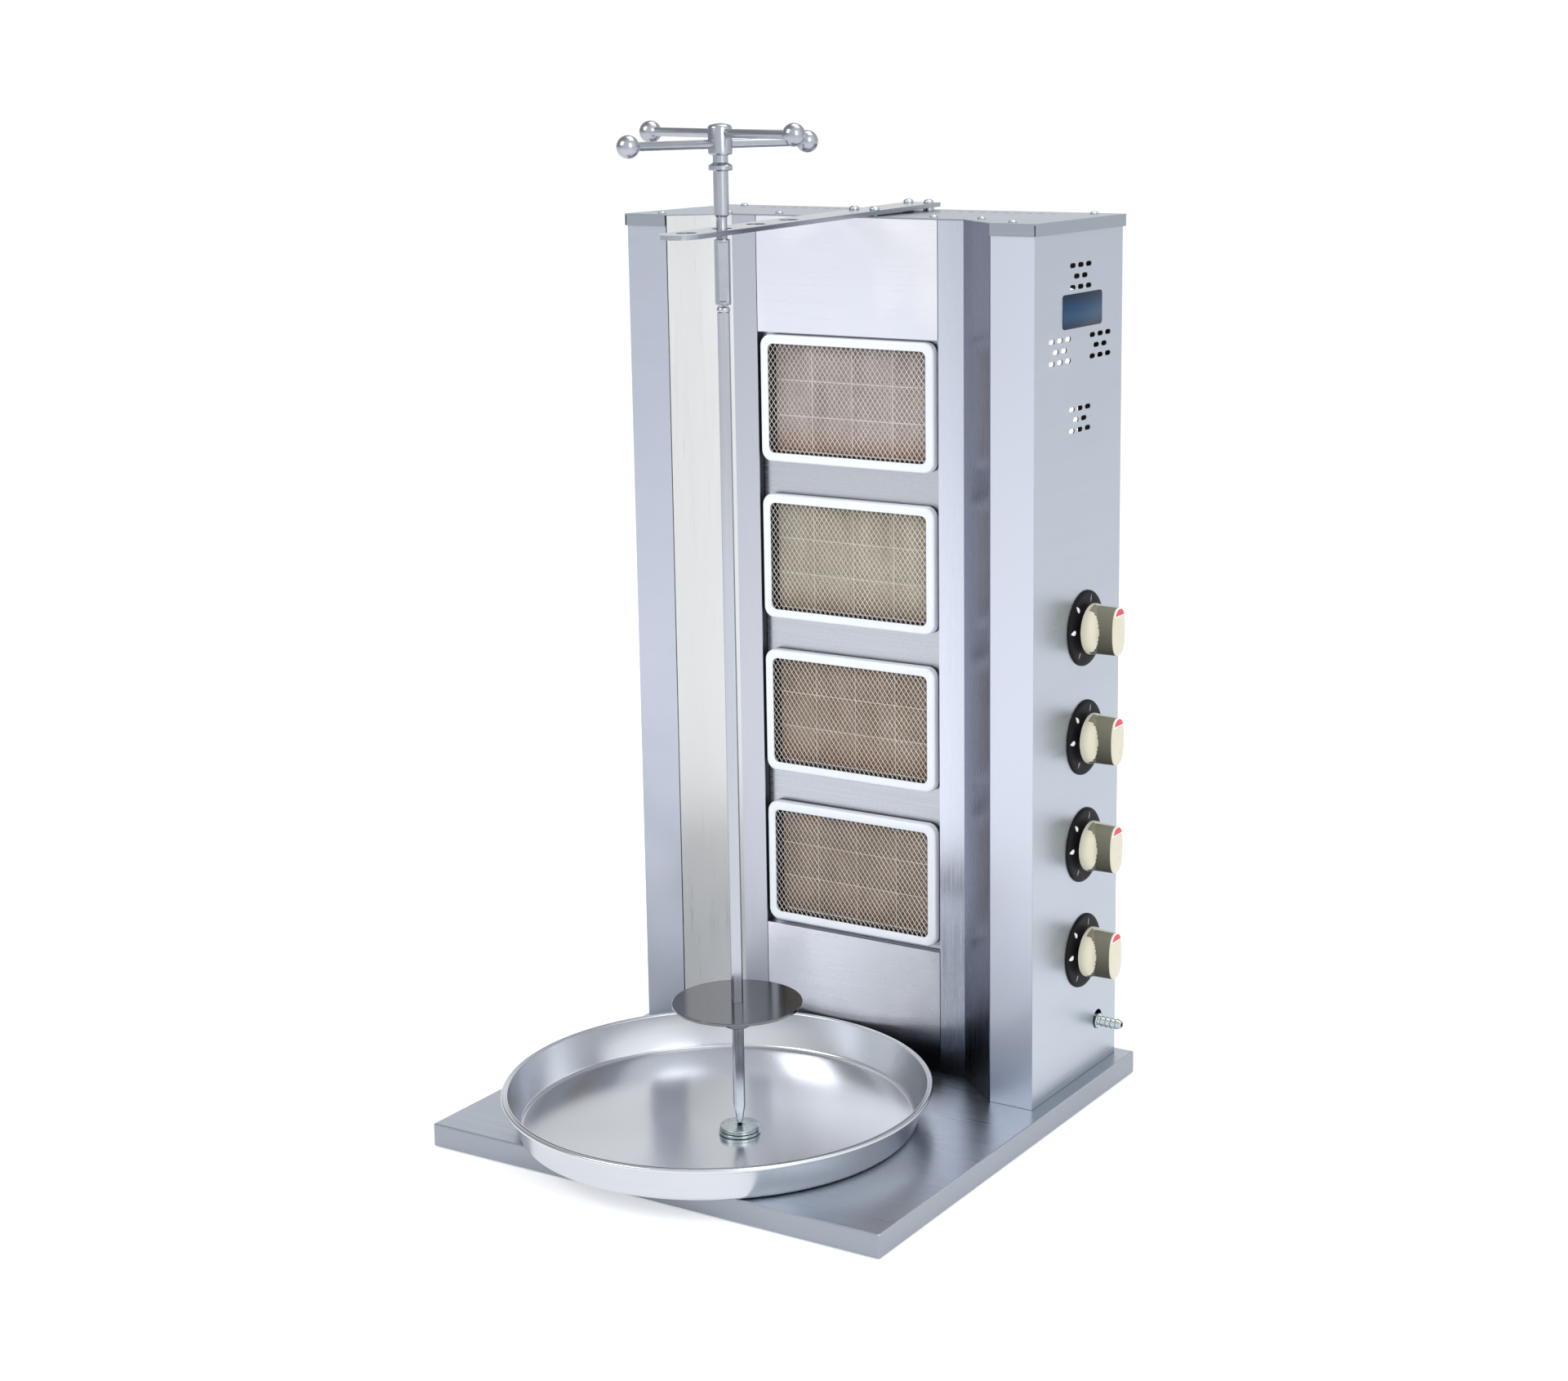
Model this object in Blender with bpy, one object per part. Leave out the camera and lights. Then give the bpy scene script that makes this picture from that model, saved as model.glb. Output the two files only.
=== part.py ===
"""Gas vertical rotisserie broiler: four radiant burners, a hand-turned skewer and a drip pan.

Everything is placed in a machine frame: x = 0 on the cabinet's centre line, y = 0 on the front
edge of the base, z = 0 on the counter. An empty carries that frame to the part's own origin, which
is the middle of the underside of the whole machine's bounding box.
"""
import bpy
import bmesh
from math import atan, cos, pi, radians, sin
from mathutils import Matrix, Vector

# ---------------------------------------------------------------- driving dimensions (metres)
GAP = 0.0003                    # between two pieces that touch
SHEET = 0.0012                  # stainless sheet

# Base tray
BASE_W = 0.532
BASE_D = 0.540
BASE_H = 0.025
BASE_RIGHT_MARGIN = 0.0172      # base beyond the cabinet's right side
SKIRT_CLEAR = 0.0015            # skirt above the counter
FOOT_R = 0.015
FOOT_INSET = 0.040

# Cabinet
CAB_HALF = 0.242
CAB_FRONT = 0.334               # front faces of the wings
CAB_BACK = 0.528
CAB_TOP = 0.930
WING_W = 0.049
RECESS_Y = 0.377                # plane of the strips and of the upper and lower panels
RECESS_HALF = 0.1095
STRIP_W = 0.0295
RETURN = 0.0085                 # depth of the folded edges round the burners
COVER_OVER = 0.002              # top cover beyond the walls
COVER_FLANGE = 0.0125
UPPER_PANEL_Z = 0.808
LOWER_PANEL_Z = 0.160
SERVICE_HALF = 0.192            # open window in the back, for service and combustion air
SERVICE_BOTTOM = 0.150
SERVICE_TOP = 0.853
VENT_CENTRES = ((0.432, 0.874), (0.3876, 0.802), (0.4765, 0.802), (0.432, 0.7305))  # y, z
VENT_SLOT = (0.0122, 0.0050)
VENT_PITCH = (0.0175, 0.0108)
COVER_SLOTS = 27
COVER_SLOT = (0.0095, 0.0045)
COVER_SLOT_PITCH = 0.0137
COVER_SLOT_Y = 0.4945

# Burners, counted from the top
BURNERS = 4
BURNER_W = 0.210
BURNER_H = 0.134
BURNER_TOP = 0.8055
BURNER_PITCH = 0.1687
FRAME_BORDER = 0.0095
FRAME_FRONT = 0.374
CORNER_R = 0.012
TRAY_DEPTH = 0.042              # pressed tray behind the ceramic
TUBE_R = 0.0115                 # mixing tube behind each burner

# Gas taps, counted from the top, on the right wall
TAP_Y = 0.447
TAP_TOP_Z = 0.5124
TAP_PITCH = 0.1158
BEZEL_R = 0.0395
KNOB_R = 0.0265
KNOB_REACH = 0.040              # knob's face out from the wall
KNOB_CLEAR = 0.0080             # knob's back off the wall
KNOB_DOME = 0.0165              # height of the dome under the grip
GRIP_W = 0.0290                 # bar grip across the knob
GRIP_H = 0.0518
TAP_BACK_X = 0.196
PIPE_LANE_X = 0.184             # upright pipe of the top burner; the others step inwards
PIPE_LANE_PITCH = 0.010
PIPE_R = 0.0035
NOZZLE_Y = 0.484
NOZZLE_Z = 0.075
MANIFOLD_X = 0.208
MANIFOLD_Y = 0.4225
MANIFOLD_R = 0.0095

# Drip pan
PAN_X = -0.025
PAN_Y = 0.1542
PAN_R = 0.220
PAN_H = 0.0395
PAN_FLOOR_R = 0.2045
PAN_SHEET = 0.0012

# Spit
SPIT_X = 0.014
SPIT_Y = 0.135
SPIT_TURN = radians(-49)        # a face of the square bar points this way
BAR = 0.0112                    # square skewer
BAR_CHAMFER = 0.0018
SPIGOT = 0.0086                 # square end in the handle's socket
PIVOT_R = 0.020
TIP_Z = 0.0317
TAPER_Z = 0.0566
SHOULDER_Z = 0.8514
SLEEVE_Z = 0.8597
SPIGOT_TOP_Z = 0.9150
SLEEVE_TOP_Z = 0.9212
NECK_TOP_Z = 0.9425
COLLAR_Z = 0.9848
HUB_Z = 0.9993
HUB_TOP_Z = 1.0270
SLEEVE_R = 0.0077
NECK_R = 0.0052
SHAFT_R = 0.0073
SLEEVE_FLAT = 0.0060            # wrench flat, out from the axis
HUB_R = 0.0115
HANDLE_TURN = radians(-17)
HANDLE_L = 0.214                # between ball centres
HANDLE_ROD_R = 0.00425
HANDLE_BALL_R = 0.011
HANDLE_UPPER_Z = 1.0195
HANDLE_LOWER_Z = 1.0095
DISC_R = 0.0655
DISC_Z = 0.1625
DISC_T = 0.003
BOSS_R = 0.014
BOSS_H = 0.022

# Support arm
ARM_W = 0.040
ARM_T = 0.0045
ARM_TILT = radians(1.06)
ARM_TOP_Z = 0.9312              # upper face at the spit
ARM_HOLE_R = 0.00975
ARM_HOLE_PITCH = 0.0578
ARM_REAR_Y = 0.515
ARM_BOLT_Y = (0.393, 0.503)
ARM_BOLT_SPREAD = 0.0245

# ---------------------------------------------------------------- derived places
BASE_RIGHT = CAB_HALF + BASE_RIGHT_MARGIN
BASE_LEFT = BASE_RIGHT - BASE_W
KNOB_FACE_X = CAB_HALF + KNOB_REACH
ORIGIN_X = (BASE_LEFT + KNOB_FACE_X) / 2
ORIGIN_Y = (PAN_Y - PAN_R + BASE_D) / 2
FLOOR_Z = BASE_H + GAP          # walls and pan stand here
WALL_TOP = CAB_TOP - SHEET - GAP
WING_X = CAB_HALF - WING_W
STRIP_X = RECESS_HALF + STRIP_W
FASCIA_Y = RECESS_Y + RETURN + 0.001
PAN_FLOOR_Z = FLOOR_Z + PAN_SHEET

STEEL = ("steel", (0.72, 0.74, 0.78), 0.30, 1.0)
POLISHED = ("polished_steel", (0.70, 0.71, 0.73), 0.10, 1.0)
ALUMINIUM = ("aluminium", (0.85, 0.86, 0.88), 0.28, 1.0)
CHROME = ("chrome", (0.80, 0.81, 0.84), 0.16, 1.0)
ENAMEL = ("white_enamel", (0.84, 0.88, 0.92), 0.22, 0.0)
MESH = ("mesh_wire", (0.55, 0.50, 0.45), 0.45, 1.0)
CERAMIC = ("ceramic", (0.62, 0.47, 0.38), 0.85, 0.0)
PLATED = ("zinc_plate", (0.68, 0.72, 0.74), 0.30, 1.0)
BRASS = ("brass", (0.72, 0.55, 0.25), 0.35, 1.0)
BLACK = ("black_plastic", (0.02, 0.02, 0.025), 0.25, 0.0)
CREAM = ("cream_plastic", (0.85, 0.80, 0.64), 0.35, 0.0)
RUBBER = ("rubber", (0.03, 0.03, 0.03), 0.85, 0.0)


# ---------------------------------------------------------------- scene and materials
def clear_scene():
    for item in list(bpy.data.objects):
        bpy.data.objects.remove(item, do_unlink=True)


def material(spec):
    name, colour, roughness, metallic = spec
    found = bpy.data.materials.get(name)
    if found:
        return found
    made = bpy.data.materials.new(name)
    made.use_nodes = True
    shader = made.node_tree.nodes["Principled BSDF"]
    shader.inputs["Base Color"].default_value = (*colour, 1.0)
    shader.inputs["Roughness"].default_value = roughness
    shader.inputs["Metallic"].default_value = metallic
    return made


def empty(name, location, parent=None):
    made = bpy.data.objects.new(name, None)
    made.empty_display_size = 0.03
    made.location = location
    made.parent = parent
    bpy.context.scene.collection.objects.link(made)
    return made


def solid(name, bm, spec, location=(0, 0, 0), parent=None, smooth=False):
    """Turn a finished bmesh into an object; location is in the machine frame or its parent's."""
    bmesh.ops.recalc_face_normals(bm, faces=bm.faces)
    mesh = bpy.data.meshes.new(name)
    bm.to_mesh(mesh)
    bm.free()
    if smooth:
        mesh.shade_smooth()
        mesh.set_sharp_from_angle(angle=radians(35))
    mesh.materials.append(material(spec))
    made = bpy.data.objects.new(name, mesh)
    made.location = location
    made.parent = parent or MACHINE
    bpy.context.scene.collection.objects.link(made)
    return made


def boolean(target, operation, bm, name, location=(0, 0, 0), parent=None):
    """Cut from or join to the target with a hidden guide solid."""
    guide = solid(name, bm, STEEL, location, parent)
    guide.hide_render = True
    guide.display_type = "WIRE"
    step = target.modifiers.new(operation.lower(), "BOOLEAN")
    step.operation = operation
    step.object = guide
    step.solver = "EXACT"
    return guide


# ---------------------------------------------------------------- shapes added to a bmesh
def add_box(bm, low, high):
    low, high = Vector(low), Vector(high)
    size = Matrix.Diagonal((*(high - low), 1.0))
    bmesh.ops.create_cube(bm, size=1.0, matrix=Matrix.Translation((low + high) / 2) @ size)


def add_prism(bm, outline, start, end, axis):
    """Extrude an outline along x, y or z; it is given in the two other axes, in order."""
    def place(point, height):
        spot = list(point)
        spot.insert("xyz".index(axis), height)
        return spot
    face = bm.faces.new([bm.verts.new(place(point, start)) for point in outline])
    grown = bmesh.ops.extrude_face_region(bm, geom=[face])
    moved = [item for item in grown["geom"] if isinstance(item, bmesh.types.BMVert)]
    shift = Vector(place((0, 0), end - start))
    bmesh.ops.translate(bm, verts=moved, vec=shift)


def add_turned(bm, profile, steps, matrix=Matrix(), closed=False):
    """Turn (radius, height) points about z. An open profile starts and ends on the axis."""
    spots = [bm.verts.new((radius, 0, height)) for radius, height in profile]
    edges = [bm.edges.new(pair) for pair in zip(spots, spots[1:])]
    if closed:
        edges.append(bm.edges.new((spots[-1], spots[0])))
    before = set(bm.verts) - set(spots)
    bmesh.ops.spin(bm, geom=spots + edges, cent=(0, 0, 0), axis=(0, 0, 1), angle=2 * pi,
                   steps=steps, use_merge=True)
    made = [vert for vert in bm.verts if vert not in before]
    bmesh.ops.remove_doubles(bm, verts=made, dist=1e-6)
    made = [vert for vert in bm.verts if vert not in before]
    bmesh.ops.transform(bm, matrix=matrix, verts=made)


def add_rod(bm, start, end, radius, steps=20):
    start, end = Vector(start), Vector(end)
    run = end - start
    turn = run.to_track_quat("Z", "Y").to_matrix().to_4x4()
    bmesh.ops.create_cone(bm, cap_ends=True, segments=steps, radius1=radius, radius2=radius,
                          depth=run.length, matrix=Matrix.Translation((start + end) / 2) @ turn)


def add_loft(bm, rings, closed=False):
    """Skin equal rings in turn: capped at both ends, or closed back onto the first ring."""
    loops = [[bm.verts.new(point) for point in ring] for ring in rings]
    pairs = list(zip(loops, loops[1:]))
    if closed:
        pairs.append((loops[-1], loops[0]))
    for first, second in pairs:
        for here in range(len(first)):
            there = (here + 1) % len(first)
            bm.faces.new((first[here], first[there], second[there], second[here]))
    if not closed:
        bm.faces.new(loops[0])
        bm.faces.new(list(reversed(loops[-1])))


# ---------------------------------------------------------------- outlines
def arc(centre, radius, start, end, steps):
    """Points on an arc, angles in degrees."""
    angles = [radians(start + (end - start) * step / steps) for step in range(steps + 1)]
    return [(centre[0] + radius * cos(angle), centre[1] + radius * sin(angle)) for angle in angles]


def rounded_rectangle(width, height, radius, steps=4, centre=(0, 0)):
    points = []
    for quarter, (side, end) in enumerate(((1, 1), (-1, 1), (-1, -1), (1, -1))):
        corner = (centre[0] + side * (width / 2 - radius), centre[1] + end * (height / 2 - radius))
        points += arc(corner, radius, 90 * quarter, 90 * quarter + 90, steps)
    return points


def folded(points, thickness):
    """Outline of a folded sheet: its outer face along points, its thickness to their left."""
    inner = []
    for index, point in enumerate(points):
        here = Vector(point)
        runs = []
        if index > 0:
            runs.append((here - Vector(points[index - 1])).normalized())
        if index < len(points) - 1:
            runs.append((Vector(points[index + 1]) - here).normalized())
        normals = [Vector((-run.y, run.x)) for run in runs]
        mitre = sum(normals, Vector((0, 0))).normalized()
        inner.append(tuple(here + mitre * thickness / mitre.dot(normals[0])))
    return list(points) + inner[::-1]


def mirrored(points):
    return [(-x, y) for x, y in reversed(points)]


def burner_middle(index):
    return BURNER_TOP - BURNER_H / 2 - BURNER_PITCH * index


def tap_height(index):
    return TAP_TOP_Z - TAP_PITCH * index


def along_x(y, z):
    """Matrix that lays a turned piece's axis along +x, through y, z."""
    return Matrix.Translation((0, y, z)) @ Matrix.Rotation(pi / 2, 4, "Y")


# ---------------------------------------------------------------- base
def make_base():
    bm = bmesh.new()
    add_box(bm, (BASE_LEFT, 0, SKIRT_CLEAR), (BASE_RIGHT, BASE_D, BASE_H))
    outer = [edge for edge in bm.edges
             if all(vert.co.z > BASE_H / 2 for vert in edge.verts)
             or abs(edge.verts[0].co.z - edge.verts[1].co.z) > BASE_H / 2]
    bmesh.ops.bevel(bm, geom=outer, offset=0.0015, segments=2, affect="EDGES", profile=0.5)
    tray = solid("base_tray", bm, STEEL)
    hollow = bmesh.new()
    add_box(hollow, (BASE_LEFT + SHEET, SHEET, -0.01),
            (BASE_RIGHT - SHEET, BASE_D - SHEET, BASE_H - SHEET))
    boolean(tray, "DIFFERENCE", hollow, "base_hollow")

    top = BASE_H - SHEET - GAP
    places = [(x, y) for x in (BASE_LEFT + FOOT_INSET, BASE_RIGHT - FOOT_INSET)
              for y in (FOOT_INSET, BASE_D - FOOT_INSET)]
    for number, (x, y) in enumerate(places, 1):
        bm = bmesh.new()
        add_turned(bm, [(0, top), (FOOT_R, top), (FOOT_R * 0.85, 0), (0, 0)], 16)
        solid(f"foot_{number}", bm, RUBBER, (x, y, 0), smooth=True)


# ---------------------------------------------------------------- cabinet walls
def slot_outline(centre, width, height):
    """A slot with round ends, longer along its first axis."""
    return rounded_rectangle(width, height, height * 0.36, 1, centre)


def vent_group(centre):
    """Slot centres of one vent: three, two and three."""
    rows = ((1, 3), (0, 2), (-1, 3))
    for row, count in rows:
        for item in range(count):
            across = VENT_PITCH[0] * (item - (count - 1) / 2)
            yield (centre[0] + across, centre[1] + VENT_PITCH[1] * row)


def make_side_panels():
    lip = CAB_BACK - SHEET - GAP
    plan = [(CAB_HALF - 0.014, lip), (CAB_HALF, lip), (CAB_HALF, CAB_FRONT),
            (WING_X, CAB_FRONT), (WING_X, CAB_FRONT + 0.010)]
    plan = folded(plan[::-1], SHEET)
    bm = bmesh.new()
    add_prism(bm, plan, FLOOR_Z, WALL_TOP, "z")
    right = solid("side_panel_right", bm, STEEL)
    bm = bmesh.new()
    add_prism(bm, mirrored(plan), FLOOR_Z, WALL_TOP, "z")
    solid("side_panel_left", bm, STEEL)

    holes = bmesh.new()
    inside, outside = CAB_HALF - 0.005, CAB_HALF + 0.005
    for centre in VENT_CENTRES:
        for spot in vent_group(centre):
            add_prism(holes, slot_outline(spot, *VENT_SLOT), inside, outside, "x")
    for index in range(BURNERS):
        add_rod(holes, (inside, TAP_Y, tap_height(index)), (outside, TAP_Y, tap_height(index)), 0.0085)
    add_rod(holes, (inside, NOZZLE_Y, NOZZLE_Z + 0.002), (outside, NOZZLE_Y, NOZZLE_Z + 0.002), 0.0105)
    boolean(right, "DIFFERENCE", holes, "side_panel_holes")


def make_reflectors():
    start = (WING_X - 0.0012, CAB_FRONT + 0.0002)
    plan = [start, (STRIP_X, RECESS_Y), (RECESS_HALF, RECESS_Y), (RECESS_HALF, RECESS_Y + RETURN)]
    plan = folded(plan[::-1], SHEET)
    for name, outline in (("reflector_right", plan), ("reflector_left", mirrored(plan))):
        bm = bmesh.new()
        add_prism(bm, outline, FLOOR_Z, WALL_TOP, "z")
        solid(name, bm, STEEL)


def make_front_panels():
    half = RECESS_HALF - 0.0008
    upper = [(RECESS_Y + RETURN, UPPER_PANEL_Z), (RECESS_Y, UPPER_PANEL_Z), (RECESS_Y, WALL_TOP)]
    lower = [(RECESS_Y, FLOOR_Z), (RECESS_Y, LOWER_PANEL_Z), (RECESS_Y + RETURN, LOWER_PANEL_Z)]
    for name, points in (("upper_panel", upper), ("lower_panel", lower)):
        outline = folded([(y, z) for y, z in points[::-1]], SHEET)
        bm = bmesh.new()
        add_prism(bm, outline, -half, half, "x")
        solid(name, bm, STEEL)


def make_back_panel():
    bm = bmesh.new()
    half = CAB_HALF - 0.001
    add_box(bm, (-half, CAB_BACK - SHEET, FLOOR_Z), (half, CAB_BACK, WALL_TOP))
    panel = solid("back_panel", bm, STEEL)
    window = bmesh.new()
    width, height = 2 * SERVICE_HALF, SERVICE_TOP - SERVICE_BOTTOM
    outline = rounded_rectangle(width, height, 0.012, 3, (0, (SERVICE_TOP + SERVICE_BOTTOM) / 2))
    add_prism(window, outline, CAB_BACK - 0.005, CAB_BACK + 0.005, "y")
    boolean(panel, "DIFFERENCE", window, "service_opening")


def arm_bolt_places():
    half = ARM_BOLT_SPREAD / 2
    return [(SPIT_X + side * half, y) for y in ARM_BOLT_Y for side in (-1, 1)]


def make_top_cover():
    side, front, back = CAB_HALF + COVER_OVER, CAB_FRONT - COVER_OVER, CAB_BACK + COVER_OVER
    edge = 0.0008               # plain edge beyond the recess and the reflectors
    right = [(STRIP_X, RECESS_Y - edge), (WING_X, front), (side, front), (side, back)]
    plan = right + mirrored(right)
    bm = bmesh.new()
    add_prism(bm, plan, CAB_TOP - SHEET, CAB_TOP, "z")
    cover = solid("top_cover", bm, STEEL)

    skirt = right[1:] + mirrored(right[1:])
    bm = bmesh.new()
    add_prism(bm, folded(skirt, SHEET), CAB_TOP - COVER_FLANGE, CAB_TOP - SHEET / 2, "z")
    boolean(cover, "UNION", bm, "cover_flange")

    holes = bmesh.new()
    for sign in (-1, 1):
        corner = sign * (side - SHEET)
        add_box(holes, (corner - 0.0006, front - 0.01, CAB_TOP - 0.02),
                (corner + 0.0006, front + 0.0028, CAB_TOP - SHEET - 0.0004))
    for index in range(COVER_SLOTS):
        x = COVER_SLOT_PITCH * (index - (COVER_SLOTS - 1) / 2)
        outline = slot_outline((x, COVER_SLOT_Y), *COVER_SLOT)
        add_prism(holes, outline, CAB_TOP - 0.005, CAB_TOP + 0.005, "z")
    for x, y in arm_bolt_places():
        add_rod(holes, (x, y, CAB_TOP - 0.005), (x, y, CAB_TOP + 0.005), 0.0038, 12)
    boolean(cover, "DIFFERENCE", holes, "cover_holes")


def make_fascia():
    """Plate behind the recess, with a window for each burner; its bars show between them."""
    bm = bmesh.new()
    add_box(bm, (-0.132, FASCIA_Y, 0.040), (0.132, FASCIA_Y + SHEET, 0.920))
    plate = solid("burner_fascia", bm, STEEL)
    windows = bmesh.new()
    for index in range(BURNERS):
        middle = burner_middle(index)
        add_box(windows, (-BURNER_W / 2 + 0.0027, FASCIA_Y - 0.01, middle - BURNER_H / 2 + 0.0027),
                (BURNER_W / 2 - 0.0027, FASCIA_Y + 0.01, middle + BURNER_H / 2 - 0.0027))
    boolean(plate, "DIFFERENCE", windows, "fascia_windows")


# ---------------------------------------------------------------- burners
def burner_ring(width, height, radius, y, middle):
    return [(x, y, z) for x, z in rounded_rectangle(width, height, radius, 4, (0, middle))]


def make_burner(index):
    middle = burner_middle(index)
    number = index + 1
    rear = FASCIA_Y - GAP
    window_w, window_h = BURNER_W - 2 * FRAME_BORDER, BURNER_H - 2 * FRAME_BORDER + 0.0015
    pocket_w, pocket_h = BURNER_W - 0.006, BURNER_H - 0.006

    def ring(width, height, radius, y):
        return burner_ring(width, height, radius, y, middle)

    edge = 0.003                # rounding of the frame's outer edge
    rings = [ring(BURNER_W, BURNER_H, CORNER_R, rear)]
    for step in range(4):
        angle = radians(30 * step)
        inward = edge * (1 - cos(angle))
        depth = FRAME_FRONT + edge - edge * sin(angle)
        rings.append(ring(BURNER_W - 2 * inward, BURNER_H - 2 * inward, CORNER_R - inward, depth))
    rings += [ring(window_w + 0.002, window_h + 0.002, 0.007, FRAME_FRONT),
              ring(window_w, window_h, 0.006, FRAME_FRONT + 0.001),
              ring(window_w, window_h, 0.006, FRAME_FRONT + 0.0018),
              ring(pocket_w, pocket_h, 0.009, FRAME_FRONT + 0.0018),
              ring(pocket_w, pocket_h, 0.009, rear)]
    bm = bmesh.new()
    add_loft(bm, rings, closed=True)
    solid(f"burner_frame_{number}", bm, ENAMEL, smooth=True)

    mesh_y = FRAME_FRONT + 0.0018 + GAP
    bm = bmesh.new()
    outline = rounded_rectangle(pocket_w - 0.0006, pocket_h - 0.0006, 0.0087, 3, (0, middle))
    add_prism(bm, outline, mesh_y, mesh_y + 0.0010, "y")
    solid(f"burner_mesh_{number}", bm, MESH)

    plaque_w, plaque_h = BURNER_W - 0.0078, BURNER_H - 0.0078
    plaque_y = FRAME_FRONT + 0.0052
    bm = bmesh.new()
    outline = rounded_rectangle(plaque_w, plaque_h, 0.0087, 3, (0, middle))
    add_prism(bm, outline, plaque_y, plaque_y + 0.012, "y")
    solid(f"ceramic_plaque_{number}", bm, CERAMIC)

    tray_y = FASCIA_Y + SHEET + GAP
    tray_w, tray_h = plaque_w + 0.0008, plaque_h + 0.0008
    flange_w, flange_h = BURNER_W + 0.006, BURNER_H + 0.006
    outer_w, outer_h = tray_w + 2 * SHEET, tray_h + 2 * SHEET
    rings = [ring(tray_w, tray_h, 0.0008, tray_y + TRAY_DEPTH - SHEET),
             ring(tray_w, tray_h, 0.0008, tray_y),
             ring(flange_w, flange_h, 0.010, tray_y),
             ring(flange_w, flange_h, 0.010, tray_y + SHEET),
             ring(outer_w, outer_h, 0.005, tray_y + SHEET),
             ring(outer_w, outer_h, 0.005, tray_y + TRAY_DEPTH)]
    bm = bmesh.new()
    add_loft(bm, rings)
    body = solid(f"burner_body_{number}", bm, STEEL)
    axis_y = mixing_tube_y()
    tube = bmesh.new()
    add_rod(tube, (-0.060, axis_y, middle), (0.118, axis_y, middle), TUBE_R, 20)
    boolean(body, "UNION", tube, f"mixing_tube_{number}")
    bore = bmesh.new()
    add_rod(bore, (-0.0585, axis_y, middle), (0.130, axis_y, middle), TUBE_R - SHEET, 20)
    boolean(body, "DIFFERENCE", bore, f"mixing_bore_{number}")


def mixing_tube_y():
    """The tube's bore breaks 2.5 mm into the back of the burner's tray."""
    tray_back = FASCIA_Y + SHEET + GAP + TRAY_DEPTH - SHEET
    return tray_back - 0.0025 + (TUBE_R - SHEET)


# ---------------------------------------------------------------- gas train
def add_pipe(bm, route, radius, sides=8):
    """A round pipe along a route of points, with flat ends."""
    spots = [Vector(point) for point in route]
    side = (spots[1] - spots[0]).orthogonal().normalized()
    rings = []
    for index, spot in enumerate(spots):
        run = (spots[min(index + 1, len(spots) - 1)] - spots[max(index - 1, 0)]).normalized()
        side = (side - run * side.dot(run)).normalized()
        up = run.cross(side)
        angles = [2 * pi * step / sides for step in range(sides)]
        rings.append([spot + radius * (side * cos(angle) + up * sin(angle)) for angle in angles])
    add_loft(bm, rings)


def add_feed(bm, index):
    """Jet holder in front of the mixing tube's mouth, clear of it for the air, and its pipe."""
    jet_y, high, low = mixing_tube_y(), burner_middle(index), tap_height(index)
    jet = [(0, 0.1420), (0.0070, 0.1420), (0.0070, 0.1260), (0.0050, 0.1240),
           (0.0025, 0.1210), (0.0025, 0.1130), (0, 0.1130)]
    add_turned(bm, jet, 12, along_x(jet_y, high))
    lane = PIPE_LANE_X - PIPE_LANE_PITCH * index
    bend = TAP_BACK_X - PIPE_LANE_X
    top = arc((lane - bend, high - bend), bend, 90, 0, 5)
    bottom = arc((lane + bend, low + bend), bend, 180, 270, 5)
    route = [(0.130, jet_y, high)] + [(x, jet_y, z) for x, z in top]
    route += [(lane, jet_y, low + bend + 0.030)] + [(x, TAP_Y, z) for x, z in bottom]
    return route + [(TAP_BACK_X + 0.002, TAP_Y, low)]


def make_manifold():
    bm = bmesh.new()
    top = tap_height(0) + 0.030
    add_rod(bm, (MANIFOLD_X, MANIFOLD_Y, NOZZLE_Z), (MANIFOLD_X, MANIFOLD_Y, top), MANIFOLD_R)
    pipe = solid("gas_manifold", bm, PLATED, smooth=True)
    branches = bmesh.new()
    for index in range(BURNERS):
        z = tap_height(index)
        end = TAP_Y - 0.0130 - GAP
        add_rod(branches, (MANIFOLD_X, MANIFOLD_Y, z), (MANIFOLD_X, end, z), 0.0055, 12)
    boolean(pipe, "UNION", branches, "manifold_branches")
    bend = 0.014
    turn = arc((MANIFOLD_X + bend, NOZZLE_Y - bend), bend, 180, 90, 6)
    route = [(MANIFOLD_X, MANIFOLD_Y)] + turn + [(0.2320, NOZZLE_Y)]
    elbow = bmesh.new()
    add_pipe(elbow, [(x, y, NOZZLE_Z) for x, y in route], MANIFOLD_R - 0.0005, 16)
    boolean(pipe, "UNION", elbow, "manifold_elbow")


def make_hose_nozzle():
    """Hose tail with four barbs and a bore right through."""
    start, shoulder, tip = 0.2323, 0.2445, 0.2710
    profile = [(0.0026, start), (0.0080, start), (0.0080, shoulder), (0.0046, shoulder + 0.001)]
    barbs = 4
    pitch = (tip - shoulder - 0.003) / barbs
    for barb in range(barbs):
        base = shoulder + 0.002 + pitch * barb
        profile += [(0.0044, base), (0.0058, base + 0.0008), (0.0046, base + pitch - 0.0006)]
    profile += [(0.0042, tip), (0.0026, tip)]
    bm = bmesh.new()
    add_turned(bm, profile, 12, along_x(NOZZLE_Y, NOZZLE_Z), closed=True)
    solid("hose_nozzle", bm, PLATED, smooth=True)


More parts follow.
